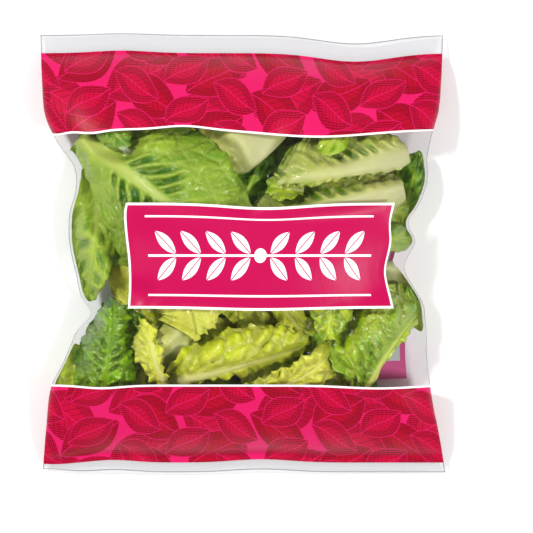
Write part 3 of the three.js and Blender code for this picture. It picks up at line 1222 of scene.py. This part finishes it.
    def surface(self, side: Array, run: Array) -> dict[str, Array]:
        """Works out the leaf's face that the viewer sees.

        Args:
            side: place across the leaf, -1 to 1.
            run: place along it, 0 to 1.

        Returns:
            x, y and z in the leaf's own frame, its rib along y, with masks and flat coordinates.
        """
        leaf = self.leaf
        slow, fast = self.teeth
        teeth = np.sin(slow * run + leaf.seed) + 0.8 * np.sin(fast * run + 2 * leaf.seed)
        frill = 1 + self.tooth * leaf.ruffle * teeth
        shoulder = np.where(side < 0, *leaf.shoulder)
        half = np.where(side < 0, leaf.left, leaf.right) * through(self.outline, run**shoulder) * frill
        falls, by_side, by_run = self.round_tip
        u, v = side * half, leaf.length * run * (1 - falls * np.abs(side) ** by_side * run**by_run)
        relief = self.relief(side, run, u, v)
        curl = np.where(side < 0, leaf.curl_left, leaf.curl_right) + STRAIGHT
        turn = np.abs(side) * curl
        x = np.sign(side) * (half * np.sin(turn) / curl + relief["flare"])
        z = -half * (1 - np.cos(turn)) / curl
        y = v + relief["lean"] + relief["flare"] * smoothstep(run, 0.7, 1.0) * (1 - side**2)
        x = x + np.sign(side) * np.sin(turn) * relief["height"] * 0.6
        z = z + relief["height"] * np.cos(turn * 0.6) - leaf.arch * (2 * run - self.arch_middle) ** 2
        if abs(leaf.sway) > STRAIGHT:
            angle = leaf.sway * (y / leaf.length - 0.5)
            radius = leaf.length / leaf.sway
            x, y = (
                radius * (1 - np.cos(angle)) + x * np.cos(angle) - radius * (1 - math.cos(leaf.sway / 2)),
                leaf.length / 2 + radius * np.sin(angle) - x * np.sin(angle),
            )
        return {**relief, "x": x, "y": y, "z": z, "u": u, "v": v}


@dataclass
class Heap:
    """The space inside the film, and the leaves laid in it one under another.

    From each side of the bag it keeps how far in the film and the leaves already laid reach, so that the
    next leaf lies against them and cuts through nothing. Its sizes are in millimetres, smoothing counts
    cells, and most_room is the share of the room that a gap may take.
    """

    film: bpy.types.Object
    form: BagForm
    shift: Vector
    cell: float = 1.5
    gap: float = 0.5
    reach: tuple[float, float] = (126, 134)
    look_from: float = 200
    seal_gap: float = 7.0
    soft: float = 5.0
    smoothing: int = 3
    far_gap: float = 0.8
    most_room: float = 0.45

    def __post_init__(self) -> None:
        """Measures the film from above and from below."""
        dg = bpy.context.evaluated_depsgraph_get()
        tree = BVHTree.FromObject(self.film, dg)
        self.counts = [int(2 * r / self.cell) + 1 for r in self.reach]
        self.front = np.zeros(self.counts)
        self.back = np.zeros(self.counts)
        for i in range(self.counts[0]):
            for j in range(self.counts[1]):
                x, y = (k * self.cell - r for k, r in zip((i, j), self.reach))
                for store, way in ((self.front, -1), (self.back, 1)):
                    start = Vector((x * MM, y * MM, -way * self.look_from * MM))
                    hit = tree.ray_cast(start, Vector((0, 0, way)))[0]
                    store[i, j] = hit.z / MM if hit else self.edge_height(x, y)
        self.film_front, self.film_back = self.front.copy(), self.back.copy()

    def edge_height(self, x: float, y: float) -> float:
        """Gives the height at which the front meets the back, level with this place outside the bag.

        Args:
            x: the place across the bag.
            y: the place along it.

        Returns:
            The height in millimetres.
        """
        along = np.array([np.clip(y, -self.form.half_length, self.form.half_length)])
        seal = self.form.seal(np.array([x]), along)
        return float((seal + (self.form.side_height - seal) * self.form.fullness(along))[0])

    def spread(self, field_in: Array, steps: int, least: bool) -> Array:
        """Softens a height field: first each cell takes its neighbourhood's extreme, then the mean.

        Args:
            field_in: the heights.
            steps: how many cells it reaches.
            least: whether the extreme is the lowest.

        Returns:
            The softened heights, which the given ones never cross.
        """
        pick = np.minimum if least else np.maximum
        out = field_in
        for _ in range(steps):
            for axis in (0, 1):
                out = pick(out, pick(np.roll(out, 1, axis), np.roll(out, -1, axis)))
        for _ in range(steps):
            for axis in (0, 1):
                out = (out + np.roll(out, 1, axis) + np.roll(out, -1, axis)) / 3
        return out

    def read(self, heights: Array, x: Array, y: Array) -> Array:
        """Reads a height field between its cells.

        Args:
            heights: the height field.
            x: places across the bag.
            y: places along it.

        Returns:
            The heights there.
        """
        fx = np.clip((x + self.reach[0]) / self.cell, 0, self.counts[0] - 1.001)
        fy = np.clip((y + self.reach[1]) / self.cell, 0, self.counts[1] - 1.001)
        i, j = fx.astype(int), fy.astype(int)
        u, v = fx - i, fy - j
        low = heights[i, j] * (1 - u) + heights[i + 1, j] * u
        high = heights[i, j + 1] * (1 - u) + heights[i + 1, j + 1] * u
        return low * (1 - v) + high * v

    def keep_inside(self, x: Array, y: Array, inset: tuple[float, float]) -> tuple[Array, Array]:
        """Draws in what would stick out of the bag's sides or past its seals.

        Args:
            x: places across the bag.
            y: places along it.
            inset: how far inside the bag's left and right side the leaf has to stay.

        Returns:
            The places, drawn in.
        """
        y = np.clip(y, self.form.bottom_seal + self.seal_gap, self.form.top_seal - self.seal_gap)
        left, right = self.form.sides(y)
        left = left + self.shift.x / MM + inset[0]
        right = right + self.shift.x / MM - inset[1]
        soft = self.soft
        over = np.maximum(x - (right - soft), 0)
        under = np.maximum((left + soft) - x, 0)
        x = x - over + soft * (1 - np.exp(-over / soft))
        x = x + under - soft * (1 - np.exp(-under / soft))
        return x, y

    def lay(self, x: Array, y: Array, z: Array, thick: Array, below: Array, from_front: bool) -> Array:
        """Lays a leaf against what is there already and takes up its room.

        Args:
            x: places across the bag.
            y: places along it.
            z: the leaf's own relief, 0 where it touches the film.
            thick: how thick the leaf is at each place.
            below: which places are on the leaf's far side.
            from_front: whether it is seen from the front of the bag.

        Returns:
            The height of each place.
        """
        way = 1 if from_front else -1
        target = self.front if from_front else self.back
        limit = self.read(self.spread(target, self.smoothing, from_front), x, y)
        height = limit + way * (z - self.gap - np.where(below, thick, 0))
        low, high = (self.read(film, x, y) for film in (self.film_back, self.film_front))
        room = np.maximum(high - low, 0)
        least = self.far_gap + np.where(below == from_front, 0, thick)
        spare = np.minimum(least, room * self.most_room)
        height = np.clip(height, low + spare, high - np.minimum(self.gap, room * self.most_room))
        i = np.clip(np.rint((x + self.reach[0]) / self.cell).astype(int), 0, self.counts[0] - 1)
        j = np.clip(np.rint((y + self.reach[1]) / self.cell).astype(int), 0, self.counts[1] - 1)
        extreme = np.minimum if from_front else np.maximum
        extreme.at(target, (i, j), height)
        return height


@dataclass(frozen=True)
class LeafPaint:
    """How a leaf's colour goes from its light tone, 0, to its deep tone, 1.

    The waves are turns in each millimetre across, along and aslant. Each by field is what a leaf gains from
    one mask, and vein_fade what its veins take away. The gains from the pits and the puffs are painted light
    and shade: the pits deepen towards the deep tone, and the crests of the puffs pale towards the light tone
    while the hollows between them deepen. The pit and crease darkenings are painted shade: how much darker
    the pits and the creases between the puffs are made.
    """

    seed_step: int = 50
    waves: tuple[float, float, float] = (0.11, 0.09, 0.23)
    start: float = 0.05
    by_run: float = 0.65
    by_side: float = 0.35
    by_mottle: float = 0.14
    # painted shade: the pits deepen towards the deep tone
    by_pit_painted_shade: float = 0.7
    # painted light and shade: the crests of the puffs pale towards the light tone, the hollows between them
    # deepen
    by_puff_painted_light: float = 0.6
    vein_fade: float = 0.8
    base_fade: float = 0.3
    smooth: float = 0.5
    # painted shade: how much darker the pits and the creases between the puffs are made
    pit_painted_shade: tuple[float, float, float] = (0.62, 0.4, 0.6)
    crease_painted_shade: float = 0.22
    rib_share: tuple[float, float] = (1.1, 0.7)
    vein_share: float = 0.45

    def colours(self, leaf: Leaf, side: Array, run: Array, shape: dict[str, Array]) -> Array:
        """Works out each vertex's colour from the leaf's tones, and how much of it is blade.

        Args:
            leaf: the leaf.
            side: place across it.
            run: place along it.
            shape: its surface, with its masks.

        Returns:
            A row for each vertex: its red, green and blue, with painted shade in the pits and creases and
                painted
            light on the puffs, and how much of it is blade.
        """
        tones = leaf.kind.value
        light, deep, rib = (np.array(colour[:3]) for colour in (tones.light, tones.deep, tones.rib))
        rng = np.random.default_rng(leaf.seed + self.seed_step)
        phase = rng.uniform(0, 2 * math.pi, 3)
        ways = shape["u"], shape["v"], shape["u"] + shape["v"]
        mottle = sum(np.sin(turns * way + at) for turns, way, at in zip(self.waves, ways, phase))
        green = leaf.tone - self.start + self.by_run * run + self.by_side * np.abs(side)
        green += leaf.edge * side**2
        # painted shade: the pits deepen towards the deep tone
        gain = self.by_mottle * mottle + self.by_pit_painted_shade * shape["pit"]
        # painted light and shade: the crests of the puffs paler, the hollows between them deeper
        green += gain - self.by_puff_painted_light * leaf.blister * (shape["puff"] - 0.5)
        green = np.clip(green, 0, 1) * (1 - self.vein_fade * shape["vein"])
        green = green * smoothstep(run + 0.5 * np.abs(side), 0.0, self.base_fade)
        # painted shade: the pits and the creases between the puffs are darkened
        crease = np.clip(leaf.blister - self.smooth, 0, 1.4) * shape["crease"]
        shade = (1 - np.outer(shape["pit"], self.pit_painted_shade)) * (1 - self.crease_painted_shade * crease)[:, None]
        blade = (light * (1 - green[:, None]) + deep * green[:, None]) * shade
        at_base, to_tip = self.rib_share
        share = shape["rib"] * (at_base - to_tip * run) + self.vein_share * shape["vein"]
        share = np.clip(share, 0, 1)[:, None]
        return np.column_stack([blade * (1 - share) + rib * share, 1 - shape["rib"]])


@dataclass
class LeafMaker:
    """Makes the leaves' meshes in the heap.

    fine and coarse are the sizes of the faces, and each inset is how far inside the bag's sides such a leaf
    stays, in millimetres. rib_thickness is what the rib adds at the base, and rib_taper what it loses.
    """

    heap: Heap
    fine: float = 0.78
    coarse: float = 2.2
    fine_inset: tuple[float, float] = (1.2, 1.2)
    coarse_inset: tuple[float, float] = (19, 32)
    least_cells: tuple[int, int] = (8, 12)
    rib_thickness: float = 2.0
    rib_taper: float = 0.8
    paint: LeafPaint = LeafPaint()

    def blank(self, leaf: Leaf, cell: float) -> bpy.types.Mesh:
        """Makes a flat leaf: a square grid one unit thick.

        Args:
            leaf: the leaf.
            cell: the size of a face in millimetres.

        Returns:
            The mesh.
        """
        bm = bmesh.new()
        sizes = leaf.left + leaf.right, leaf.length
        columns, rows = (max(least, round(size / cell)) for least, size in zip(self.least_cells, sizes))
        bmesh.ops.create_grid(bm, x_segments=columns, y_segments=rows, size=0.5)
        bmesh.ops.solidify(bm, geom=bm.faces[:], thickness=1.0)
        return mesh_of(bm, "leaf")

    def grow(self, leaf: Leaf, from_front: bool = True, fine: bool = True) -> bpy.types.Mesh:
        """Makes one leaf and lays it in the heap.

        Args:
            leaf: the leaf.
            from_front: whether it is seen from the front of the bag.
            fine: whether it shows enough to need small faces.

        Returns:
            Its mesh, in place.
        """
        mesh = self.blank(leaf, self.fine if fine else self.coarse)
        flat = read_places(mesh)
        side, run = flat[:, 0] * 2, flat[:, 1] + 0.5
        below = np.abs(flat[:, 2]) > 0.5
        maker = LeafShape(leaf)
        shape = maker.surface(side, run)
        heading = math.atan2(leaf.tip[1] - leaf.base[1], leaf.tip[0] - leaf.base[0]) - math.pi / 2
        mirror = 1 if from_front else -1
        x = leaf.base[0] + shape["x"] * math.cos(heading) * mirror - shape["y"] * math.sin(heading)
        y = leaf.base[1] + shape["x"] * math.sin(heading) * mirror + shape["y"] * math.cos(heading)
        x, y = self.heap.keep_inside(x, y, self.fine_inset if fine else self.coarse_inset)
        thick = maker.thickness + self.rib_thickness * shape["rib"] * (1 - self.rib_taper * run)
        height = self.heap.lay(x, y, shape["z"] - shape["z"].max(), thick, below, from_front)
        write_places(mesh, np.column_stack([x, y, height]) * MM)
        tint = mesh.color_attributes.new("tint", "FLOAT_COLOR", "POINT")
        colours = self.paint.colours(leaf, side, run, shape)
        tint.data.foreach_set("color", colours.astype(np.float32).ravel())
        spread_flat(mesh, "blade", shape["u"], shape["v"])
        return mesh

    def gather(self, name: str, meshes: list[bpy.types.Mesh], skin: bpy.types.Material, slot: str) -> None:
        """Joins leaves of a kind into one piece and dresses it.

        Args:
            name: the piece's name.
            meshes: the leaves' meshes, in place.
            skin: the leaves' material.
            slot: not used.
        """
        bm = bmesh.new()
        for mesh in meshes:
            bm.from_mesh(mesh)
        bmesh.ops.recalc_face_normals(bm, faces=bm.faces)
        joined = mesh_of(bm, name)
        piece(name, joined, [skin])
        LOG.info("%s: %d leaves, %d faces", name, len(meshes), len(joined.polygons))


@dataclass(frozen=True)
class LeafFinish:
    """A fresh leaf's skin: waxy, netted with fine veins and a little see-through.

    How many crinkles, veins, grains and mottles there are is counted in a metre.
    """

    name: str
    wax: float = 0.34
    glow: float = 0.24
    crinkle: float = 1.3
    crinkles: float = 160
    gloss: float = 0.46
    gloss_spread: float = 0.1
    veins: float = 420.0
    vein_width: float = 0.09
    vein_ink: float = 0.12
    vein_tone: tuple = linear(206, 220, 90)
    vein_hollow: tuple[float, float] = (0.4, 0.08)
    grains: float = 700
    grain: float = 0.25
    mottles: float = 95
    mottle_tone: tuple = linear(178, 200, 150)
    mottle_start: float = 0.35
    mottle_ink: float = 0.5
    mottle_rough: float = 0.22
    flat_rib: float = 0.1
    bump: tuple[float, float] = (0.8, 0.0015)
    glow_tone: tuple = linear(200, 216, 40)

    def material(self) -> bpy.types.Material:
        """Makes the material.

        Returns:
            The material.
        """
        sheet = NodeSheet(self.name)
        tint = sheet.node("ShaderNodeVertexColor", {"layer_name": "tint"}).link("Color")
        uv = sheet.uv("blade")
        warp = sheet.noise(uv, self.crinkles, 2)
        net = sheet.node(
            "ShaderNodeTexVoronoi",
            {"feature": "DISTANCE_TO_EDGE", "voronoi_dimensions": "2D"},
            {"Vector": uv, "Scale": self.veins, "Randomness": 1.0},
        ).value("Distance")
        fine = sheet.noise(uv, self.grains, 4)
        lines = 1.0 - net.ramp(0.0, self.vein_width)
        mottle = sheet.noise(uv, self.mottles, 3)
        dim = (mottle - self.mottle_start) * self.mottle_ink
        shade = sheet.mix(dim, (1, 1, 1, 1), self.mottle_tone)
        settings = {"data_type": "RGBA", "blend_type": "MULTIPLY"}
        toned = sheet.node("ShaderNodeMix", settings, {0: 1.0, 6: tint, 7: shade}).link(2)
        veined = sheet.mix(lines * self.vein_ink, toned, self.vein_tone)
        blade = sheet.node("ShaderNodeVertexColor", {"layer_name": "tint"}).value("Alpha")
        spread, depth = self.vein_hollow
        height = net.ramp(0.0, spread) * depth + fine * self.grain + warp * self.crinkle
        normal = sheet.bump(height * (blade * (1 - self.flat_rib) + self.flat_rib), *self.bump)
        inputs = {
            "Base Color": veined, "Normal": normal,
            "Roughness": (mottle * self.mottle_rough + self.wax - blade * 0.1).clamped(),
            "Subsurface Weight": 0.1, "Subsurface Radius": (0.6, 1.0, 0.1), "Subsurface Scale": 0.002,
            "Specular IOR Level": 0.26,
            "Coat Weight": blade * self.gloss + 0.04, "Coat Roughness": self.gloss_spread,
        }
        glow = sheet.node("ShaderNodeBsdfTranslucent", None, {"Color": self.glow_tone}).link()
        return sheet.finish(sheet.blend(self.glow, sheet.surface(inputs), glow))


def laid_leaves() -> list[Leaf]:
    """Lists the leaves that show through the front of the bag, the uppermost first.

    Returns:
        The leaves, in the order in which they are laid.
    """
    kind = Kind
    return [
        Leaf(
            kind.FRESH, (65.5, 81), (47.5, 59), 9, 10, ruffle=0.6, blister=0.3, rib=2, arch=2,
            seed=31,
        ),
        Leaf(
            kind.GREEN, (-90.5, 88), (-69, 63), 10, 11, 0.9, 0.9, ruffle=1.6, blister=1.2, rib=2.4,
            spacing=7, tone=0.25, puff=6, seed=22,
        ),
        Leaf(
            kind.HEART, (-45, -83.5), (-58, -39), 11, 5, 0.5, 0.8, 0.35, ruffle=2.6, blister=2,
            pits=0.6, rib=2, spacing=7, tone=-0.6, frill=7, puff=7, seed=8,
        ),
        Leaf(
            kind.OLIVE, (-38, 1.5), (-27, -50.5), 22, 20, 0.4, 0.4, ruffle=2.6, blister=0.4, pits=0.4,
            rib=2, spacing=9, tone=0.1, frill=8, seed=12,
        ),
        Leaf(
            kind.FRESH, (57, -3), (50.5, -52.5), 13, 13, 0.4, 0.4, ruffle=1.6, blister=2, rib=1.6,
            tone=-0.3, frill=9, puff=7, seed=13,
        ),
        Leaf(
            kind.DARK, (-88, -103), (-77.5, -31.5), 20, 19, 0.7, 0.6, -0.15, ruffle=1.4, blister=2.8,
            pits=2.4, rib=0.9, spacing=7, tone=-0.35, shoulder=(0.6, 0.6), puff=6.5, frill=11, seed=2,
        ),
        Leaf(
            kind.PALE, (72.5, -87), (114.5, -27), 36, 3, 0.6, 1.1, 0.45, ruffle=0.9, blister=2.8,
            pits=2.6, rib=2.6, spacing=8, tone=-0.3, edge=0.8, shoulder=(0.7, 1), puff=7, frill=12, seed=3,
        ),
        Leaf(
            kind.GREEN, (-98, 70), (4, -5.5), 47, 47, 0.5, 0.6, -0.05, ruffle=0.7, blister=0.9,
            pits=3.6, rib=5.5, spacing=8, shoulder=(0.5, 1), frill=16, puff=7, seed=4,
        ),
        Leaf(
            kind.GREEN, (-84.5, 55.5), (-94, -29.5), 16, 21, 0.7, 0.6, 0.05, ruffle=1, blister=1.1,
            pits=2.6, rib=2.6, spacing=13, tone=-0.55, shoulder=(0.6, 0.5), frill=14, puff=10, seed=5,
        ),
        Leaf(
            kind.RIBBED, (100, 57), (20, 42), 8, 30, 1.3, 0.5, 0.04, ruffle=1.8, blister=1,
            pits=4, rib=9, spacing=7.5, shoulder=(0.35, 0.6), frill=9, puff=7, seed=6,
        ),
        Leaf(
            kind.FRESH, (36.5, 37.5), (14, 40), 9, 9, ruffle=2, blister=1.8, rib=1.4, puff=6, frill=7,
            seed=32,
        ),
        Leaf(
            kind.RIBBED, (97, 37), (4, 22), 22, 21, 0.9, 0.6, 0.1, ruffle=2, blister=1.2,
            pits=2.4, rib=6.5, spacing=8.5, tone=0.15, shoulder=(0.6, 0.5), frill=10, puff=8, seed=7,
        ),
        Leaf(
            kind.HEART, (-2, -85), (68, -38), 10, 11, 0.5, 0.6, -1.2, ruffle=2.2, blister=1.6,
            pits=0.4, rib=1.2, spacing=8, tone=-0.7, shoulder=(0.5, 0.5), frill=9, puff=8, seed=10,
        ),
        Leaf(
            kind.HEART, (-46, -79), (41.5, -55), 24, 5, 0.6, 1.2, -0.1, ruffle=2, blister=1.9,
            pits=0.6, rib=3.6, spacing=8, tone=0.15, shoulder=(0.6, 0.5), frill=9, puff=9.5, seed=9,
        ),
        Leaf(
            kind.HEART, (11.5, -21), (46, -63), 9, 10, 0.6, 0.6, 0.3, ruffle=2.2, blister=1.6,
            rib=1.8, spacing=7, tone=-0.2, frill=8, puff=7, seed=11,
        ),
        Leaf(
            kind.HEART, (-6.5, -5.5), (-3, -40.5), 15, 14, 0.4, 0.4, ruffle=2.2, blister=1, rib=3,
            spacing=8, tone=-0.6, frill=8, seed=33,
        ),
        Leaf(
            kind.HEART, (-4, -22.5), (17.5, -58.5), 15, 13, 0.4, 0.4, ruffle=2, blister=1.6, pits=1.4,
            rib=2.4, spacing=8, tone=0.1, frill=9, seed=37,
        ),
        Leaf(
            kind.RIBBED, (-42, -88), (-38, -36), 15, 15, 0.3, 0.3, ruffle=0.8, blister=0.3, pits=0.4,
            rib=13, tone=-0.8, frill=9, seed=38,
        ),
        Leaf(
            kind.OLIVE, (23.5, -39), (-42.5, -61), 13, 12, ruffle=1, blister=0.6, pits=0.8, rib=2,
            seed=35,
        ),
        Leaf(
            kind.RIBBED, (15, 58), (-23.5, 101), 25, 25, 0.3, 0.4, ruffle=0.6, blister=0.2, pits=0.5,
            rib=19, spacing=9, tone=-0.8, shoulder=(0.3, 0.3), seed=14,
        ),
        Leaf(
            kind.DARK, (-6.5, 16), (15, 65), 18, 13, ruffle=0.8, blister=0.3, rib=2.4, tone=0.4,
            seed=15,
        ),
        Leaf(kind.GREEN, (64, 9), (109, 8), 9, 8, ruffle=0.7, blister=0.8, rib=2.2, tone=-0.25, seed=17),
        Leaf(
            kind.FRESH, (74, 30.5), (101.5, 22), 10, 9, ruffle=1.2, blister=1.8, rib=2, spacing=7,
            puff=6, frill=8, seed=36,
        ),
        Leaf(
            kind.DARK, (93, 5), (106, 60.5), 14, 17, 0.5, 0.7, ruffle=0.9, blister=1, rib=2, tone=0,
            seed=16,
        ),
        Leaf(
            kind.RIBBED, (86, -6), (112, -46.5), 13, 12, ruffle=0.9, blister=0.8, pits=1.4, rib=7,
            spacing=9, tone=-0.7, seed=18,
        ),
        Leaf(
            kind.FRESH, (-83.5, -95.5), (-107.5, -56), 22, 16, ruffle=0.5, blister=0.3, rib=2,
            tone=-0.4, frill=16, seed=19,
        ),
        Leaf(
            kind.DARK, (-72.5, -69), (-77.5, -27), 17, 16, ruffle=1.6, blister=1.4, rib=2.6,
            spacing=8, tone=0.2, seed=20,
        ),
        Leaf(
            kind.HEART, (68, -59.5), (46, -83.5), 10, 9, 0.8, 0.8, ruffle=0.8, blister=0.4, rib=7,
            seed=21,
        ),
        Leaf(
            kind.GREEN, (78.5, -58.5), (65.5, -22.5), 15, 15, ruffle=1, blister=0.9, rib=2.6, tone=0.2,
            seed=23,
        ),
        Leaf(
            kind.HEART, (52, -46.5), (-2, -76.5), 16, 16, ruffle=1.6, blister=1, rib=3, tone=0.1,
            seed=39,
        ),
    ]


@dataclass(frozen=True)
class Filling:
    """The leaves that fill the bag under and behind those that are listed one by one.

    far, jitter, reach and half are millimetres: how far out the outer leaves lie, how far each is moved,
    half a leaf's length and half its width.
    """

    seed: int
    across: int = 4
    along: int = 5
    far: tuple[float, float] = (78, 88)
    jitter: float = 10
    reach: tuple[float, float] = (38, 50)
    half: tuple[float, float] = (20, 27)

    def leaves(self) -> list[Leaf]:
        """Scatters leaves over the bag on a jittered grid, so that no place is left bare.

        Returns:
            The leaves, in the order in which they are laid.
        """
        rng = np.random.default_rng(self.seed)
        kinds = [Kind.GREEN, Kind.FRESH, Kind.OLIVE, Kind.HEART, Kind.GREEN]
        shift = -self.jitter, self.jitter
        made = []
        for row in range(self.along):
            for column in range(self.across):
                x = 2 * self.far[0] * column / (self.across - 1) - self.far[0] + rng.uniform(*shift)
                y = 2 * self.far[1] * row / (self.along - 1) - self.far[1] + rng.uniform(*shift)
                turn = rng.uniform(0, 2 * math.pi)
                reach = rng.uniform(*self.reach)
                dx, dy = reach * math.cos(turn), reach * math.sin(turn)
                half = rng.uniform(*self.half)
                made.append(
                    Leaf(
                        kinds[rng.integers(len(kinds))], (x - dx, y - dy), (x + dx, y + dy), half,
                        half * rng.uniform(0.8, 1.1), *rng.uniform(0.3, 0.9, 2), sway=rng.uniform(-0.3, 0.3),
                        ruffle=rng.uniform(1, 2.4), blister=rng.uniform(0.5, 1.2),
                        pits=rng.uniform(0.8, 2.4), rib=rng.uniform(3, 6), arch=rng.uniform(2, 6),
                        spacing=rng.uniform(7, 11), seed=int(rng.integers(1, 10**6)),
                    )
                )
        return made


@dataclass(frozen=True)
class Studio:
    """The pale floor, the soft lights and the camera over the bag.

    In metres, but for the sensor. A lamp is its place, its size and its power.
    """

    picture_width: float = 0.3198
    picture_middle: tuple[float, float] = (0.0141, -0.00825)
    distance: float = 8.0
    focus_height: float = 0.02
    sensor: float = 36.0
    view_end: float = 20
    key: tuple = ((-1.8, 1.2, 3.0), 0.42, 104)
    fill: tuple = ((1.9, -0.9, 2.9), 0.7, 76)
    room: float = 0.48
    floor_reach: float = 3.0
    floor_gap: float = 0.0002
    floor_white: float = 0.93

    def floor(self) -> None:
        """Lays a large pale floor under the bag."""
        bm = bmesh.new()
        bmesh.ops.create_grid(bm, x_segments=1, y_segments=1, size=self.floor_reach)
        floor = put_in_scene("floor", mesh_of(bm, "floor"))
        floor.location.z = -self.floor_gap
        sheet = NodeSheet("floor paint")
        white = (*[self.floor_white] * 3, 1)
        paint = sheet.surface({"Base Color": white, "Roughness": 0.9, "Specular IOR Level": 0.1})
        floor.data.materials.append(sheet.finish(paint))

    def lamp(self, name: str, place: tuple[float, float, float], size: float, power: float) -> None:
        """Hangs a square soft light that looks at the bag.

        Args:
            name: the lamp's name.
            place: where it hangs.
            size: its width.
            power: its power in watts.
        """
        data = bpy.data.lights.new(name, "AREA")
        data.size, data.energy = size, power
        lamp = put_in_scene(name, data)
        lamp.location = place
        lamp.rotation_euler = (-Vector(place)).to_track_quat("-Z", "Y").to_euler()

    def lights(self) -> None:
        """Sets the light: a bright key past the bag's top, a fill on the other side and a white room."""
        self.lamp("key", *self.key)
        self.lamp("fill", *self.fill)
        world = bpy.data.worlds.new("room")
        world.use_nodes = True
        light = world.node_tree.nodes["Background"].inputs
        light["Color"].default_value = (1, 1, 1, 1)
        light["Strength"].default_value = self.room
        bpy.context.scene.world = world
        bpy.context.scene.view_settings.view_transform = "Standard"

    def camera(self) -> None:
        """Sets the camera straight above, where it frames the bag as in the photograph."""
        data = bpy.data.cameras.new("camera")
        data.sensor_width = self.sensor
        data.lens = self.sensor * self.distance / self.picture_width
        data.clip_end = self.view_end
        camera = put_in_scene("camera", data)
        camera.location = (*self.picture_middle, self.focus_height + self.distance)
        bpy.context.scene.camera = camera

    def build(self) -> None:
        """Builds the studio."""
        self.camera()
        self.floor()
        self.lights()


def main() -> None:
    """Builds the bag, its leaves and the studio."""
    logging.basicConfig(level=logging.INFO, format="%(message)s")
    Studio().build()
    film = Film()
    bag = film.build()
    heap = Heap(bag, film.form, film.shift)
    maker = LeafMaker(heap)
    grown = [(leaf, maker.grow(leaf)) for leaf in laid_leaves()]
    for seed in FRONT_SEEDS:
        grown += [(leaf, maker.grow(leaf, fine=False)) for leaf in Filling(seed).leaves()]
    behind = Filling(BACK_SEED).leaves()
    grown += [(leaf, maker.grow(leaf, from_front=False, fine=False)) for leaf in behind]
    for kind in Kind:
        name = kind.name.lower()
        skin = LeafFinish(f"{name} leaf", **(WET_SKIN if kind in WET else {})).material()
        meshes = [mesh for leaf, mesh in grown if leaf.kind is kind]
        maker.gather(f"{name}_leaves", meshes, skin, "outer_leaf" if kind in OUTER else "heart_leaf")


if __name__ == "__main__":
    main()
